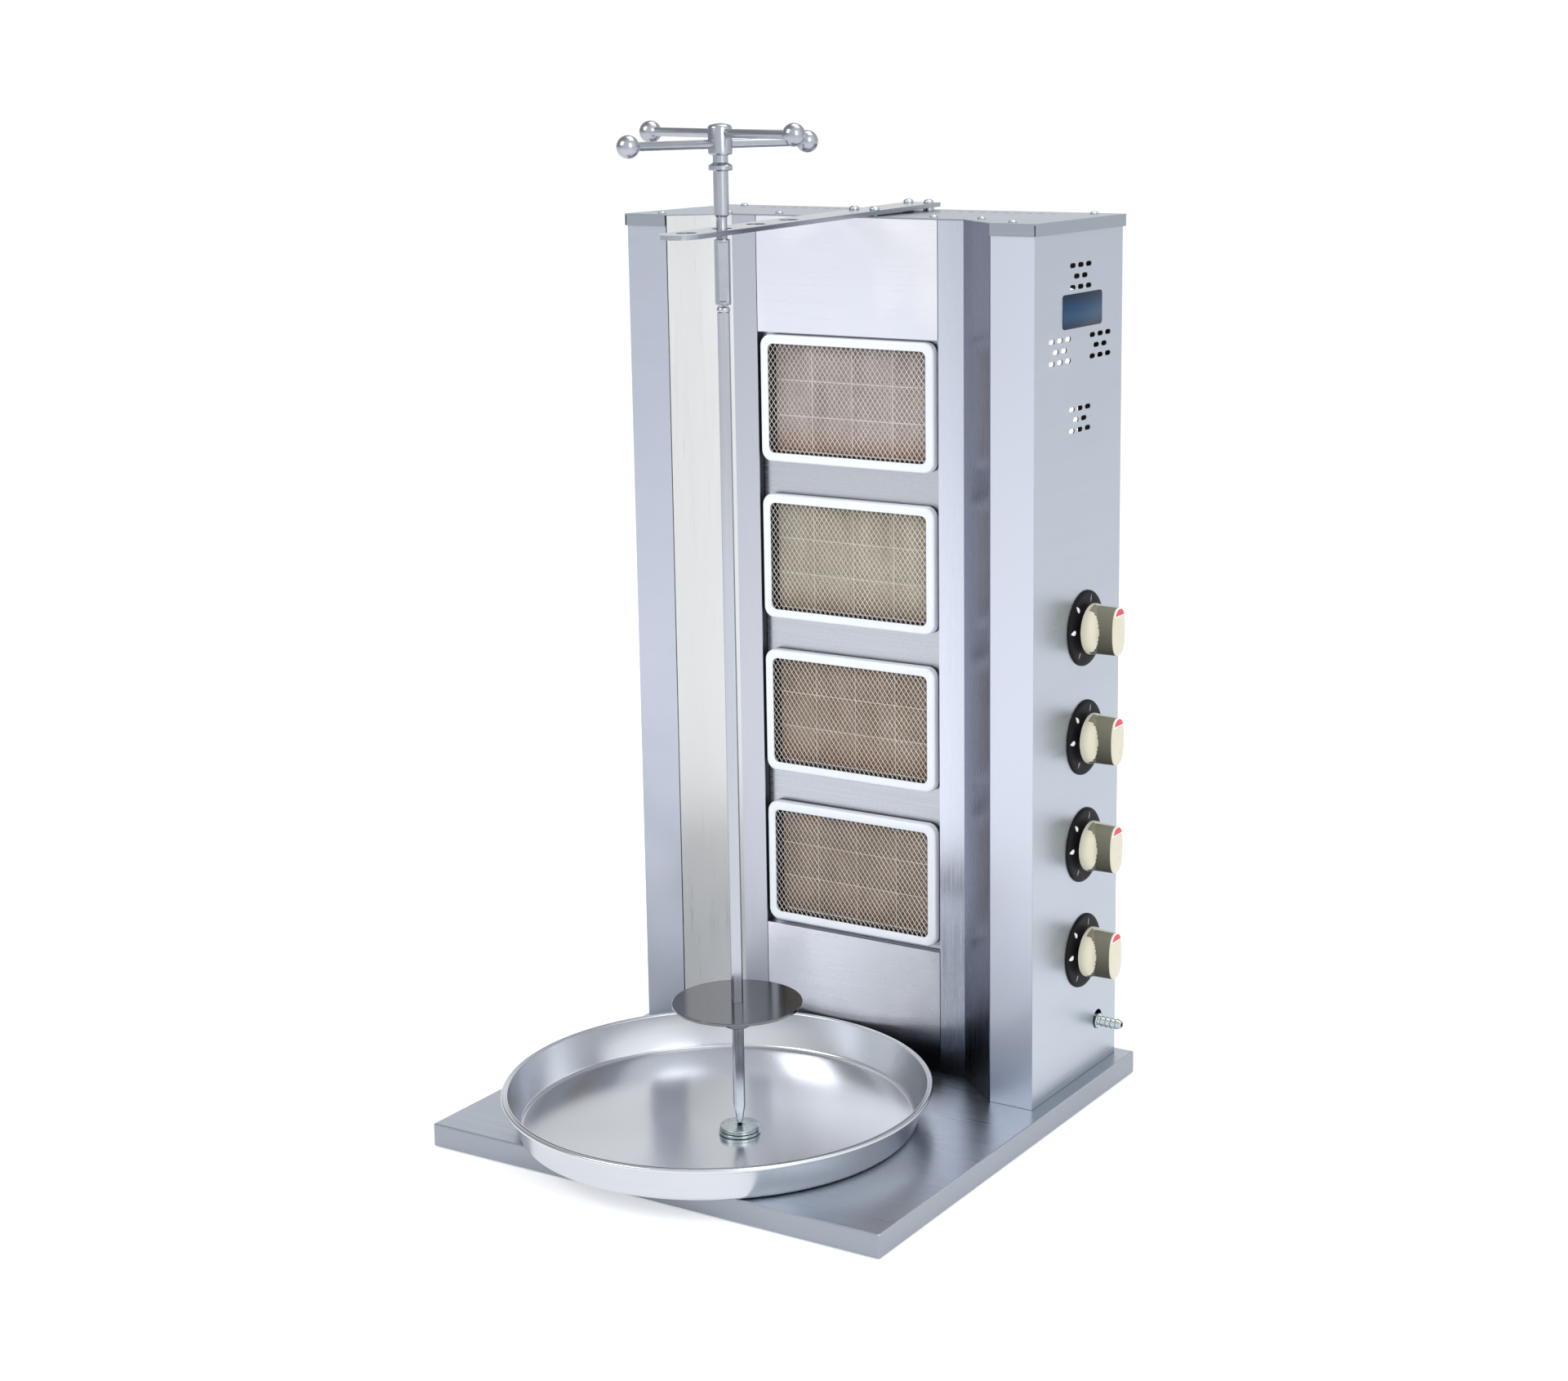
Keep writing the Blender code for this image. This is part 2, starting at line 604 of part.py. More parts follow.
def make_tap(index):
    """Gas tap: its body with the pipe and jet it feeds, a plug that turns in it, and a knob."""
    number = index + 1
    z = tap_height(index)
    body = [(0, TAP_BACK_X), (0.0130, TAP_BACK_X), (0.0130, 0.2260), (0.0155, 0.2275), (0.0155, 0.2365),
            (0.0075, 0.2365), (0.0075, 0.2040), (0, 0.2040)]
    bm = bmesh.new()
    add_turned(bm, body, 16, along_x(TAP_Y, z))
    tap = solid(f"valve_body_{number}", bm, BRASS, smooth=True)
    jet = bmesh.new()
    route = add_feed(jet, index)
    boolean(tap, "UNION", jet, f"jet_{number}")
    pipe = bmesh.new()
    add_pipe(pipe, route, PIPE_R)
    boolean(tap, "UNION", pipe, f"feed_pipe_{number}")

    turner = empty(f"tap_axis_{number}", (0, TAP_Y, z), MACHINE)
    plug = [(0, 0.2044), (0.0070, 0.2044), (0.0070, 0.2330), (0.0043, 0.2330), (0.0043, 0.2150),
            (0, 0.2150)]
    bm = bmesh.new()
    add_turned(bm, plug, 16, along_x(0, 0))
    solid(f"valve_plug_{number}", bm, BRASS, parent=turner, smooth=True)
    make_knob(number, turner)


def make_knob(number, turner):
    """Round dome with a bar grip across it, moulded on the stem that works the plug."""
    back = CAB_HALF + KNOB_CLEAR
    dome = back + KNOB_DOME
    profile = [(0, dome), (0.0160, dome), (0.0205, dome - 0.0013), (0.0240, dome - 0.0048),
               (0.0260, dome - 0.0095), (KNOB_R, back + 0.0030), (KNOB_R, back),
               (0.0040, back), (0.0040, 0.2200), (0, 0.2200)]
    bm = bmesh.new()
    add_turned(bm, profile, 24, along_x(0, 0))
    knob = solid(f"knob_{number}", bm, CREAM, parent=turner, smooth=True)
    outline = rounded_rectangle(GRIP_W, GRIP_H, 0.0105, 3)
    rings = []
    for x, scale in ((dome - 0.006, 1.0), (KNOB_FACE_X - 0.0012, 0.985), (KNOB_FACE_X, 0.93)):
        rings.append([(x, y * scale, z * scale) for y, z in outline])
    grip = bmesh.new()
    add_loft(grip, rings)
    boolean(knob, "UNION", grip, f"knob_grip_{number}", parent=turner)


def make_bezel(index):
    wall = CAB_HALF + GAP
    profile = [(0.0090, wall), (0.0090, wall + 0.0024), (BEZEL_R - 0.0035, wall + 0.0030),
               (BEZEL_R, wall + 0.0015), (BEZEL_R, wall)]
    bm = bmesh.new()
    add_turned(bm, profile, 28, along_x(TAP_Y, tap_height(index)), closed=True)
    solid(f"knob_bezel_{index + 1}", bm, BLACK, smooth=True)


# ---------------------------------------------------------------- drip pan and pivot
def make_pan():
    """Spun pan: thin floor and sloping wall, with a rolled lip."""
    bottom, top = FLOOR_Z, FLOOR_Z + PAN_H
    wall_r = PAN_R - 0.0065     # inner face of the wall under the lip
    bend = 0.006
    outside = [(0, bottom)] + arc((PAN_FLOOR_R - bend, bottom + bend), bend, -90, -10, 2)
    outside += [(wall_r + PAN_SHEET, top - 0.005), (PAN_R - 0.003, top - 0.005)]
    lip = arc((PAN_R - 0.0025, top - 0.0025), 0.0025, -60, 90, 3)
    inside = [(wall_r + 0.002, top), (wall_r, top - 0.002)]
    inside += arc((PAN_FLOOR_R - bend, bottom + bend), bend - PAN_SHEET, -10, -90, 2)
    inside += [(0, PAN_FLOOR_Z)]
    bm = bmesh.new()
    add_turned(bm, outside + lip + inside, 56)
    carrier = empty("pan_place", (PAN_X, PAN_Y, 0), MACHINE)
    solid("drip_pan", bm, ALUMINIUM, parent=carrier, smooth=True)


def make_pivot(spit):
    low = PAN_FLOOR_Z + GAP
    base = [(0, low + 0.0028), (PIVOT_R, low + 0.0028), (PIVOT_R + 0.001, low + 0.0018),
            (PIVOT_R + 0.001, low), (0, low)]
    bm = bmesh.new()
    add_turned(bm, base, 28)
    solid("pivot_base", bm, PLATED, parent=spit, smooth=True)
    low += 0.0028 + GAP
    high = low + 0.0048
    cup = [(0, low), (PIVOT_R - 0.001, low), (PIVOT_R, low + 0.0008), (PIVOT_R, high - 0.0008),
           (PIVOT_R - 0.0008, high), (0.0045, high), (0.0040, TIP_Z - GAP), (0, TIP_Z - GAP)]
    bm = bmesh.new()
    add_turned(bm, cup, 28)
    solid("pivot_cup", bm, PLATED, parent=spit, smooth=True)


# ---------------------------------------------------------------- skewer, disc and handle
def square_ring(half, chamfer, z):
    """A square with its corners cut off, turned to the spit's angle."""
    corners = []
    for quarter in range(4):
        turn = Matrix.Rotation(quarter * pi / 2 + SPIT_TURN, 2)
        for point in ((half, half - chamfer), (half - chamfer, half)):
            spot = turn @ Vector(point)
            corners.append((spot.x, spot.y, z))
    return corners


def make_skewer(spit):
    half, spigot = BAR / 2, SPIGOT / 2
    bar = [square_ring(0.0018, 0.0006, TIP_Z), square_ring(half, BAR_CHAMFER, TAPER_Z),
           square_ring(half, BAR_CHAMFER, SHOULDER_Z - 0.0006)]
    shoulder = [square_ring(0.0064, 0.0036, SHOULDER_Z + 0.0015),
                square_ring(0.0068, 0.0040, SHOULDER_Z + 0.0042),
                square_ring(0.0060, 0.0034, SLEEVE_Z - GAP)]
    end = [square_ring(spigot, 0.0006, SLEEVE_Z - GAP), square_ring(spigot, 0.0006, SPIGOT_TOP_Z)]
    bm = bmesh.new()
    add_loft(bm, bar + shoulder + end)
    solid("skewer", bm, POLISHED, parent=spit)


def make_disc(spit):
    top, boss_end = DISC_Z + DISC_T, DISC_Z - BOSS_H
    profile = [(0, top), (DISC_R - 0.0005, top), (DISC_R, top - 0.0008), (DISC_R, DISC_Z + 0.0008),
               (DISC_R - 0.0005, DISC_Z), (BOSS_R, DISC_Z), (BOSS_R, boss_end + 0.001),
               (BOSS_R - 0.001, boss_end), (0, boss_end)]
    bm = bmesh.new()
    add_turned(bm, profile, 44)
    disc = solid("meat_disc", bm, POLISHED, parent=spit, smooth=True)
    hole = bmesh.new()
    half = BAR / 2 + GAP
    add_loft(hole, [square_ring(half, BAR_CHAMFER, z) for z in (boss_end - 0.005, top + 0.007)])
    boolean(disc, "DIFFERENCE", hole, "disc_square_hole", parent=spit)
    middle = DISC_Z - BOSS_H / 2
    out = Vector((cos(SPIT_TURN + pi / 2), sin(SPIT_TURN + pi / 2), 0))
    lift = Vector((0, 0, middle))
    thread = bmesh.new()
    add_rod(thread, lift + out * 0.001, lift + out * 0.020, 0.0033, 14)
    boolean(disc, "DIFFERENCE", thread, "disc_screw_hole", parent=spit)

    tip = BAR / 2 + GAP
    screw = [(0, tip), (0.0030, tip), (0.0030, 0.0285), (0.0062, 0.0290), (0.0070, 0.0300),
             (0.0070, 0.0370), (0.0062, 0.0380), (0, 0.0380)]
    bm = bmesh.new()
    turn = Matrix.Translation(lift) @ Matrix.Rotation(SPIT_TURN + pi / 2, 4, "Z") @ along_x(0, 0)
    add_turned(bm, screw, 16, turn)
    solid("disc_lock_screw", bm, PLATED, parent=spit, smooth=True)


def make_handle(spit):
    profile = [(0, SLEEVE_Z), (SLEEVE_R - 0.0006, SLEEVE_Z), (SLEEVE_R, SLEEVE_Z + 0.0008),
               (SLEEVE_R, SLEEVE_TOP_Z - 0.0006), (SLEEVE_R - 0.0006, SLEEVE_TOP_Z),
               (NECK_R, SLEEVE_TOP_Z), (NECK_R, NECK_TOP_Z), (SHAFT_R - 0.0005, NECK_TOP_Z + 0.0004),
               (SHAFT_R, NECK_TOP_Z + 0.0012), (SHAFT_R, COLLAR_Z), (0.0105, COLLAR_Z + 0.0004),
               (HUB_R, COLLAR_Z + 0.0018), (HUB_R, COLLAR_Z + 0.0050), (0.0100, COLLAR_Z + 0.0073),
               (SHAFT_R, COLLAR_Z + 0.0078), (SHAFT_R, HUB_Z), (0.0100, HUB_Z + 0.0006),
               (HUB_R, HUB_Z + 0.0022),
               (HUB_R, HUB_TOP_Z - 0.0012), (0.0106, HUB_TOP_Z), (0.0070, HUB_TOP_Z + 0.0014),
               (0, HUB_TOP_Z + 0.0020)]
    bm = bmesh.new()
    add_turned(bm, profile, 20)
    shaft = solid("handle_shaft", bm, CHROME, parent=spit, smooth=True)
    socket = bmesh.new()
    half = SPIGOT / 2 + GAP
    add_loft(socket, [square_ring(half, 0.0005, z) for z in (SLEEVE_Z - 0.01, SPIGOT_TOP_Z + 0.001)])
    boolean(shaft, "DIFFERENCE", socket, "handle_socket", parent=spit)
    flats = bmesh.new()
    for side in (0, pi):
        turn = Matrix.Rotation(SPIT_TURN + side, 4, "Z")
        add_box(flats, (SLEEVE_FLAT, -0.02, SLEEVE_Z + 0.004), (0.02, 0.02, SLEEVE_TOP_Z - 0.003))
        bmesh.ops.transform(flats, matrix=turn, verts=list(flats.verts)[-8:])
    boolean(shaft, "DIFFERENCE", flats, "sleeve_flats", parent=spit)

    bars = ((HANDLE_TURN, HANDLE_UPPER_Z), (HANDLE_TURN + pi / 2, HANDLE_LOWER_Z))
    holes = bmesh.new()
    for number, (turn, z) in enumerate(bars, 1):
        place = Matrix.Translation((0, 0, z)) @ Matrix.Rotation(turn, 4, "Z") @ along_x(0, 0)
        bm = bmesh.new()
        add_turned(bm, handle_bar_profile(), 14, place)
        solid(f"handle_bar_{number}", bm, CHROME, parent=spit, smooth=True)
        reach = Vector((cos(turn), sin(turn), 0)) * 0.03
        lift = Vector((0, 0, z))
        add_rod(holes, lift - reach, lift + reach, HANDLE_ROD_R + GAP, 14)
    boolean(shaft, "DIFFERENCE", holes, "hub_holes", parent=spit)


def handle_bar_profile():
    """Rod with a ball on each end, from its far tip to its near one."""
    half = HANDLE_L / 2
    meets_rod = 67              # degrees round the ball, where the rod begins
    quarter = arc((0, 0), HANDLE_BALL_R, 90, -meets_rod, 6)
    ball = [(radius, half + height) for radius, height in quarter]
    ball[0] = (0, half + HANDLE_BALL_R)
    last = half - HANDLE_BALL_R * sin(radians(meets_rod))
    end = ball[:-1] + [(HANDLE_ROD_R, last)]
    return end + [(radius, -height) for radius, height in reversed(end)]


# ---------------------------------------------------------------- support arm
def make_arm():
    """Flat bar with a row of holes, tilted slightly down to the front; its frame is at the spit."""
    frame = empty("arm_place", (SPIT_X, SPIT_Y, ARM_TOP_Z), MACHINE)
    frame.rotation_euler.x = ARM_TILT
    half = ARM_W / 2
    front = -ARM_HOLE_PITCH - 0.010
    rear = ARM_REAR_Y - SPIT_Y
    outline = arc((0, front), half, 180, 360, 14) + [(half, rear), (-half, rear)]
    bm = bmesh.new()
    add_prism(bm, outline, -ARM_T, 0, "z")
    arm = solid("support_arm", bm, STEEL, parent=frame, smooth=True)
    holes = bmesh.new()
    for index in range(-1, 3):
        y = ARM_HOLE_PITCH * index
        add_rod(holes, (0, y, -0.02), (0, y, 0.02), ARM_HOLE_R, 28)
    for x, y in arm_bolt_places():
        add_rod(holes, (x - SPIT_X, y - SPIT_Y, -0.02), (x - SPIT_X, y - SPIT_Y, 0.02), 0.0033, 12)
    boolean(arm, "DIFFERENCE", holes, "arm_holes", parent=frame)

    for name, y in (("arm_clamp_front", ARM_BOLT_Y[0]), ("arm_clamp_rear", ARM_BOLT_Y[1])):
        make_arm_clamp(name, y - SPIT_Y, frame)


def make_arm_clamp(name, y, frame):
    """Two bolts through the arm and the cover, in a plate under the cover, spaced where there's room."""
    cover = CAB_TOP - ARM_TOP_Z - y * sin(ARM_TILT)
    under = cover - SHEET - 0.0005
    shank, spacer = 0.0029, 0.0060
    bolt = [(0, 0.0042), (0.0030, 0.0040), (0.0050, 0.0026), (0.0054, 0.0010), (0.0054, GAP),
            (shank, GAP)]
    room = -ARM_T - cover
    if room > 0.0025:
        bolt += [(shank, -ARM_T - GAP), (spacer, -ARM_T - GAP), (spacer, cover + 0.0006),
                 (shank, cover + 0.0006)]
    bolt += [(shank, under - 0.0060), (0, under - 0.0060)]
    half = ARM_BOLT_SPREAD / 2
    bm = bmesh.new()
    add_box(bm, (-half - 0.007, y - 0.0065, under - 0.003), (half + 0.007, y + 0.0065, under))
    clamp = solid(name, bm, PLATED, parent=frame, smooth=True)
    bolts = bmesh.new()
    for side in (-half, half):
        add_turned(bolts, bolt, 10, Matrix.Translation((side, y, 0)))
    boolean(clamp, "UNION", bolts, name + "_bolts", parent=frame)


# ---------------------------------------------------------------- assembly
clear_scene()
MACHINE = empty("machine_frame", (-ORIGIN_X, -ORIGIN_Y, 0))

make_base()
make_side_panels()
make_reflectors()
make_front_panels()
make_back_panel()
make_top_cover()
make_fascia()
for burner in range(BURNERS):
    make_burner(burner)
make_manifold()
make_hose_nozzle()
for tap in range(BURNERS):
    make_tap(tap)
    make_bezel(tap)
make_pan()
SPIT = empty("spit_axis", (SPIT_X, SPIT_Y, 0), MACHINE)
make_pivot(SPIT)
make_skewer(SPIT)
make_disc(SPIT)
make_handle(SPIT)
make_arm()
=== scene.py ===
"""Looks of the gas vertical rotisserie broiler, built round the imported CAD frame."""
from math import cos, pi, radians, sin, tau

import bmesh
import bpy
from mathutils import Matrix, Vector


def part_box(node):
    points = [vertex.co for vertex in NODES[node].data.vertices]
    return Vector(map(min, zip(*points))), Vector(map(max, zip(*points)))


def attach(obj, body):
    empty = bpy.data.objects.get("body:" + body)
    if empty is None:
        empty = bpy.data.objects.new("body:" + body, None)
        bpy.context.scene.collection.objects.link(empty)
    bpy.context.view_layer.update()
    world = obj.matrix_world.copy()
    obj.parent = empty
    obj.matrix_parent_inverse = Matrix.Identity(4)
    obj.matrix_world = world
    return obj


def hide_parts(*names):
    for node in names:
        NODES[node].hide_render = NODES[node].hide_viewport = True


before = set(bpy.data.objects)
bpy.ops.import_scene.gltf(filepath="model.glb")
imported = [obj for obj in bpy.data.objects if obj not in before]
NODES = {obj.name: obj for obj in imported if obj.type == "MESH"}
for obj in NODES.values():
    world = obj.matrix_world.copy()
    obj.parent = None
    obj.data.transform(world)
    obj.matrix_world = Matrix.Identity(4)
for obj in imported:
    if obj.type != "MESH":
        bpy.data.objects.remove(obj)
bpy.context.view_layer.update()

FOURS = range(1, 5)                             # burners, taps and feet come in fours

# Sizes that the frame's boxes don't give, in metres
SHEET = 0.0012                                  # stainless and aluminium sheet
CLEAR = 0.0003                                  # between two pieces that touch
STRIP_W = 0.0295                                # flat strips beside the burners
KNOB_CLEAR = 0.0080                             # knob's back off the wall
KNOB_DOME = 0.0165                              # height of the dome under the grip
GRIP_START = KNOB_CLEAR + 0.0040                # where the grip leaves the dome, out from the wall
GRIP_W, GRIP_H = 0.0288, 0.0512                 # bar grip, across and along
GRIP_EDGE = 0.0016                              # rounding round the grip's face
OVAL = 2 / 2.5                                  # squareness of the grip's oval
SPIT_TURN = radians(-49)                        # a face of the square bar points this way
HANDLE_TURN = radians(-17)
SHOULDER_Z = 0.8514                             # top of the square bar
COVER_FLANGE = 0.0125
ARM_T = 0.0045
ARM_TILT = radians(1.06)
BOLT_SPREAD = 0.0245                            # between the two bolts of a clamp


# ---------------------------------------------------------------- places read from the frame
def span(node):
    """Low corner, high corner and middle of a CAD node."""
    low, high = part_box(node)
    return low, high, (low + high) / 2


WALL_LOW, WALL_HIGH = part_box("side_panel_right")
WALL_X = WALL_HIGH.x                            # right wall's outer face
LEFT_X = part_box("side_panel_left")[0].x
CENTRE_X = (WALL_X + LEFT_X) / 2
FRONT_Y = WALL_LOW.y                            # front faces of the wings
COVER_LOW, COVER_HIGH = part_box("top_cover")
PAN_LOW, PAN_HIGH, PAN_MIDDLE = span("drip_pan")
SPIT_LOW, SPIT_HIGH, SPIT = span("skewer")
HANDLE_LOW, HANDLE_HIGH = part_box("handle_shaft")
RECESS_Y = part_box("upper_panel")[0].y           # plane of the strips and panels
STRIP_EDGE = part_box("reflector_right")[0].x + STRIP_W   # fold between the flat strip and the slope
LEFT_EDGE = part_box("reflector_left")[1].x - STRIP_W


# ---------------------------------------------------------------- shapes
def arc(centre, radius, start, end, steps):
    """Points on an arc, angles in degrees."""
    angles = [radians(start + (end - start) * step / steps) for step in range(steps + 1)]
    return [(centre[0] + radius * cos(angle), centre[1] + radius * sin(angle)) for angle in angles]


def rounded_rectangle(width, height, radius, steps=8, centre=(0, 0)):
    """Points round a rectangle whose corners are arcs."""
    points = []
    for quarter, (side, end) in enumerate(((1, 1), (-1, 1), (-1, -1), (1, -1))):
        corner = (centre[0] + side * (width / 2 - radius), centre[1] + end * (height / 2 - radius))
        points += arc(corner, radius, 90 * quarter, 90 * quarter + 90, steps)
    return points


def skin(bm, rings, closed):
    """Faces between each ring of vertices and the next. A ring may be a single vertex."""
    pairs = list(zip(rings, rings[1:]))
    if closed:
        pairs.append((rings[-1], rings[0]))
    for first, second in pairs:
        steps = max(len(first), len(second))
        for here in range(steps):
            there = (here + 1) % steps
            corners = [first[here % len(first)], first[there % len(first)],
                       second[there % len(second)], second[here % len(second)]]
            bm.faces.new(list(dict.fromkeys(corners)))


def add_loft(bm, rings, closed=False):
    """Skin equal rings in turn: capped at both ends, or closed back onto the first ring."""
    loops = [[bm.verts.new(point) for point in ring] for ring in rings]
    skin(bm, loops, closed)
    if not closed:
        bm.faces.new(loops[0])
        bm.faces.new(list(reversed(loops[-1])))


def add_turned(bm, profile, steps, matrix=Matrix(), closed=False):
    """Turn (radius, height) points about z. Radius 0 closes an end on the axis."""
    rings = []
    for radius, height in profile:
        count = 1 if radius == 0 else steps
        angles = [tau * step / steps for step in range(count)]
        rings.append([bm.verts.new(matrix @ Vector((radius * cos(a), radius * sin(a), height)))
                      for a in angles])
    skin(bm, rings, closed)


def along_x(place):
    """Matrix that lays a turned piece's axis along +x from a place."""
    return Matrix.Translation(place) @ Matrix.Rotation(pi / 2, 4, "Y")


def piece(name, bm, material, body, stands_for=(), angle=35, bevel=0):
    """Make an object of a finished bmesh and let it ride on a CAD body."""
    bmesh.ops.recalc_face_normals(bm, faces=bm.faces)
    mesh = bpy.data.meshes.new(name)
    bm.to_mesh(mesh)
    bm.free()
    mesh.shade_smooth()
    mesh.set_sharp_from_angle(angle=radians(angle))
    mesh.materials.append(material)
    made = bpy.data.objects.new(name, mesh)
    bpy.context.scene.collection.objects.link(made)
    if bevel:
        round_edges(made, bevel)
    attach(made, body)
    if stands_for:
        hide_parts(*stands_for)
    return made


def round_edges(made, width):
    step = made.modifiers.new("round_edges", "BEVEL")
    step.width = width
    step.segments = 2
    step.limit_method = "ANGLE"
    step.angle_limit = radians(30)
    step.harden_normals = True


# ---------------------------------------------------------------- materials
class Recipe:
    """A Principled material and short ways to add nodes to it."""

    def __init__(self, name, colour, roughness, metallic=0.0, **sockets):
        self.material = bpy.data.materials.new(name)
        self.material.use_nodes = True
        self.tree = self.material.node_tree
        self.shader = self.tree.nodes["Principled BSDF"]
        self.set("Base Color", (*colour, 1))
        self.set("Roughness", roughness)
        self.set("Metallic", metallic)
        for socket, value in sockets.items():
            self.set(socket.replace("_", " ").title().replace("Ior", "IOR"), value)
        self.where = self.add("ShaderNodeTexCoord").outputs["Object"]

    def set(self, socket, value):
        self.shader.inputs[socket].default_value = value

    def add(self, kind, **values):
        made = self.tree.nodes.new(kind)
        for key, value in values.items():
            setattr(made, key, value)
        return made

    def link(self, start, end):
        self.tree.links.new(start, end)

    def drive(self, socket, value):
        self.link(value, self.shader.inputs[socket])

    def along(self, axis, vector=None):
        """One coordinate, in metres unless another vector is given."""
        split = self.add("ShaderNodeSeparateXYZ")
        self.link(vector or self.where, split.inputs[0])
        return split.outputs[axis]

    def share_up(self):
        """0 at the piece's lowest point and 1 at its highest."""
        return self.along("Z", self.add("ShaderNodeTexCoord").outputs["Generated"])

    def scaled(self, scale):
        mapping = self.add("ShaderNodeMapping")
        mapping.inputs["Scale"].default_value = scale
        self.link(self.where, mapping.inputs["Vector"])
        return mapping.outputs["Vector"]

    def noise(self, vector, scale=1.0, detail=3.0, rough=0.5):
        made = self.add("ShaderNodeTexNoise")
        made.inputs["Scale"].default_value = scale
        made.inputs["Detail"].default_value = detail
        made.inputs["Roughness"].default_value = rough
        self.link(vector, made.inputs["Vector"])
        return made.outputs["Fac"]

    def spread(self, value, low, high, start=0.3, end=0.7):
        made = self.add("ShaderNodeMapRange")
        for socket, number in (("From Min", start), ("From Max", end), ("To Min", low), ("To Max", high)):
            made.inputs[socket].default_value = number
        self.link(value, made.inputs["Value"])
        return made.outputs["Result"]

    def mixed(self, factor, first, second):
        made = self.add("ShaderNodeMix", data_type="RGBA")
        self.link(factor, made.inputs["Factor"])
        for socket, value in ((6, first), (7, second)):
            if isinstance(value, tuple):
                made.inputs[socket].default_value = (*value, 1)
            else:
                self.link(value, made.inputs[socket])
        return made.outputs[2]

    def bump(self, height, strength, distance):
        made = self.add("ShaderNodeBump")
        made.inputs["Strength"].default_value = strength
        made.inputs["Distance"].default_value = distance
        self.link(height, made.inputs["Height"])
        self.drive("Normal", made.outputs["Normal"])


def shade(colour, factor):
    """The colour made lighter or darker."""
    return tuple(min(1.0, channel * factor) for channel in colour)


def brushed_steel(name, colour, roughness, grain, wear=0.04, painted_dark_foot=None, low=None, flat=None, painted_shadow_past=None,
                  cloud=None, inside=None, behind=None):
    """Stainless sheet: fine lines along one axis, faint clouding, and roughness that follows the lines.

    painted_dark_foot darkens the sheet under a height, as painted dark reflection and shade; low dims
    it gently towards the foot, as painted shade; flat gives a second tone to the part of a folded sheet
    on one side of an x, as painted light and shade on that face; painted_shadow_past gives one to what
    lies past a y, as a painted shadow; cloud is a tone for broad soft patches of painted reflection;
    inside and behind darken the face that is turned into the cabinet.
    """
    made = Recipe(name, colour, roughness, 1.0)
    fine = {"x": (9, 700, 700), "y": (700, 9, 700), "z": (700, 700, 9)}[grain]
    lines = made.noise(made.scaled(fine), 1.0, 4.0, 0.65)
    broad = {"x": (2, 45, 45), "y": (45, 2, 45), "z": (45, 45, 2)}[grain]
    bands = made.noise(made.scaled(broad), 1.0, 2.0)
    clouds = made.noise(made.where, 7.0, 3.0)
    tone = made.mixed(made.spread(lines, 0, 1), shade(colour, 1 - wear), shade(colour, 1 + wear))
    tone = made.mixed(made.spread(bands, 0.0, 0.45), tone, shade(colour, 1 - 1.1 * wear))
    tone = made.mixed(made.spread(clouds, 0.0, 0.30), tone, shade(colour, 1 + 0.8 * wear))
    # Painted reflection: broad soft patches of another tone.
    if cloud:
        patches = made.noise(made.scaled((11, 11, 6)), 1.0, 1.0)
        tone = made.mixed(made.spread(patches, 0.0, 0.85, 0.42, 0.62), tone, cloud)
    # Painted light and shade: the part of the fold on one side of the x gets its own tone.
    if flat:
        edge, sign, other = flat
        tone = made.mixed(beyond(made, edge, sign), tone, other)
    # Painted shadow: what lies past a y gets a near-black tone.
    if painted_shadow_past:
        edge, other = painted_shadow_past
        tone = made.mixed(beyond(made, edge, -1, "Y"), tone, other)
    if behind:
        edge, other = behind
        tone = made.mixed(beyond(made, edge, 1, "Y"), tone, other)
    if inside:
        both = made.add("ShaderNodeMath", operation="MULTIPLY")
        made.link(beyond(made, *inside), both.inputs[0])
        made.link(beyond(made, FRONT_Y + SHEET / 2, -1, "Y"), both.inputs[1])
        tone = made.mixed(both.outputs[0], tone, INNER)
    # Painted shade: the sheet dims gently towards its foot.
    if low:
        height, depth, factor = low
        dim = made.add("ShaderNodeMix", data_type="RGBA", blend_type="MULTIPLY")
        dim.inputs["Factor"].default_value = 1.0
        made.link(tone, dim.inputs[6])
        fade = made.mixed(wavering_edge(made, height, depth), (factor,) * 3, (1.0,) * 3)
        made.link(fade, dim.inputs[7])
        tone = dim.outputs[2]
    # Painted dark reflection and shade: the sheet goes dark under a wavering height.
    if painted_dark_foot:
        height, depth, darkest = painted_dark_foot
        tone = made.mixed(wavering_edge(made, height, depth), shade(colour, darkest), tone)
    made.drive("Base Color", tone)
    made.drive("Roughness", made.spread(lines, roughness - 0.05, roughness + 0.07))
    made.bump(lines, 0.05, 0.00006)
    return made.material


def beyond(made, edge, sign, axis="X"):
    """1 under the edge for sign 1 or over it for sign -1, and 0 on its other side."""
    return made.spread(made.along(axis), 0, 1, edge + sign * 0.0002, edge - sign * 0.0002)


def wavering_edge(made, height, depth):
    """0 below a wavering height and 1 above it, soft over a depth."""
    wobble = made.noise(made.where, 9.0, 2.0)
    lift = made.add("ShaderNodeMath", operation="MULTIPLY_ADD")
    made.link(wobble, lift.inputs[0])
    lift.inputs[1].default_value = depth * 0.5
    made.link(made.along("Z"), lift.inputs[2])
    edge = made.add("ShaderNodeMapRange", interpolation_type="SMOOTHSTEP")
    edge.inputs["From Min"].default_value = height - depth / 2
    edge.inputs["From Max"].default_value = height + depth / 2
    made.link(lift.outputs[0], edge.inputs["Value"])
    return edge.outputs["Result"]


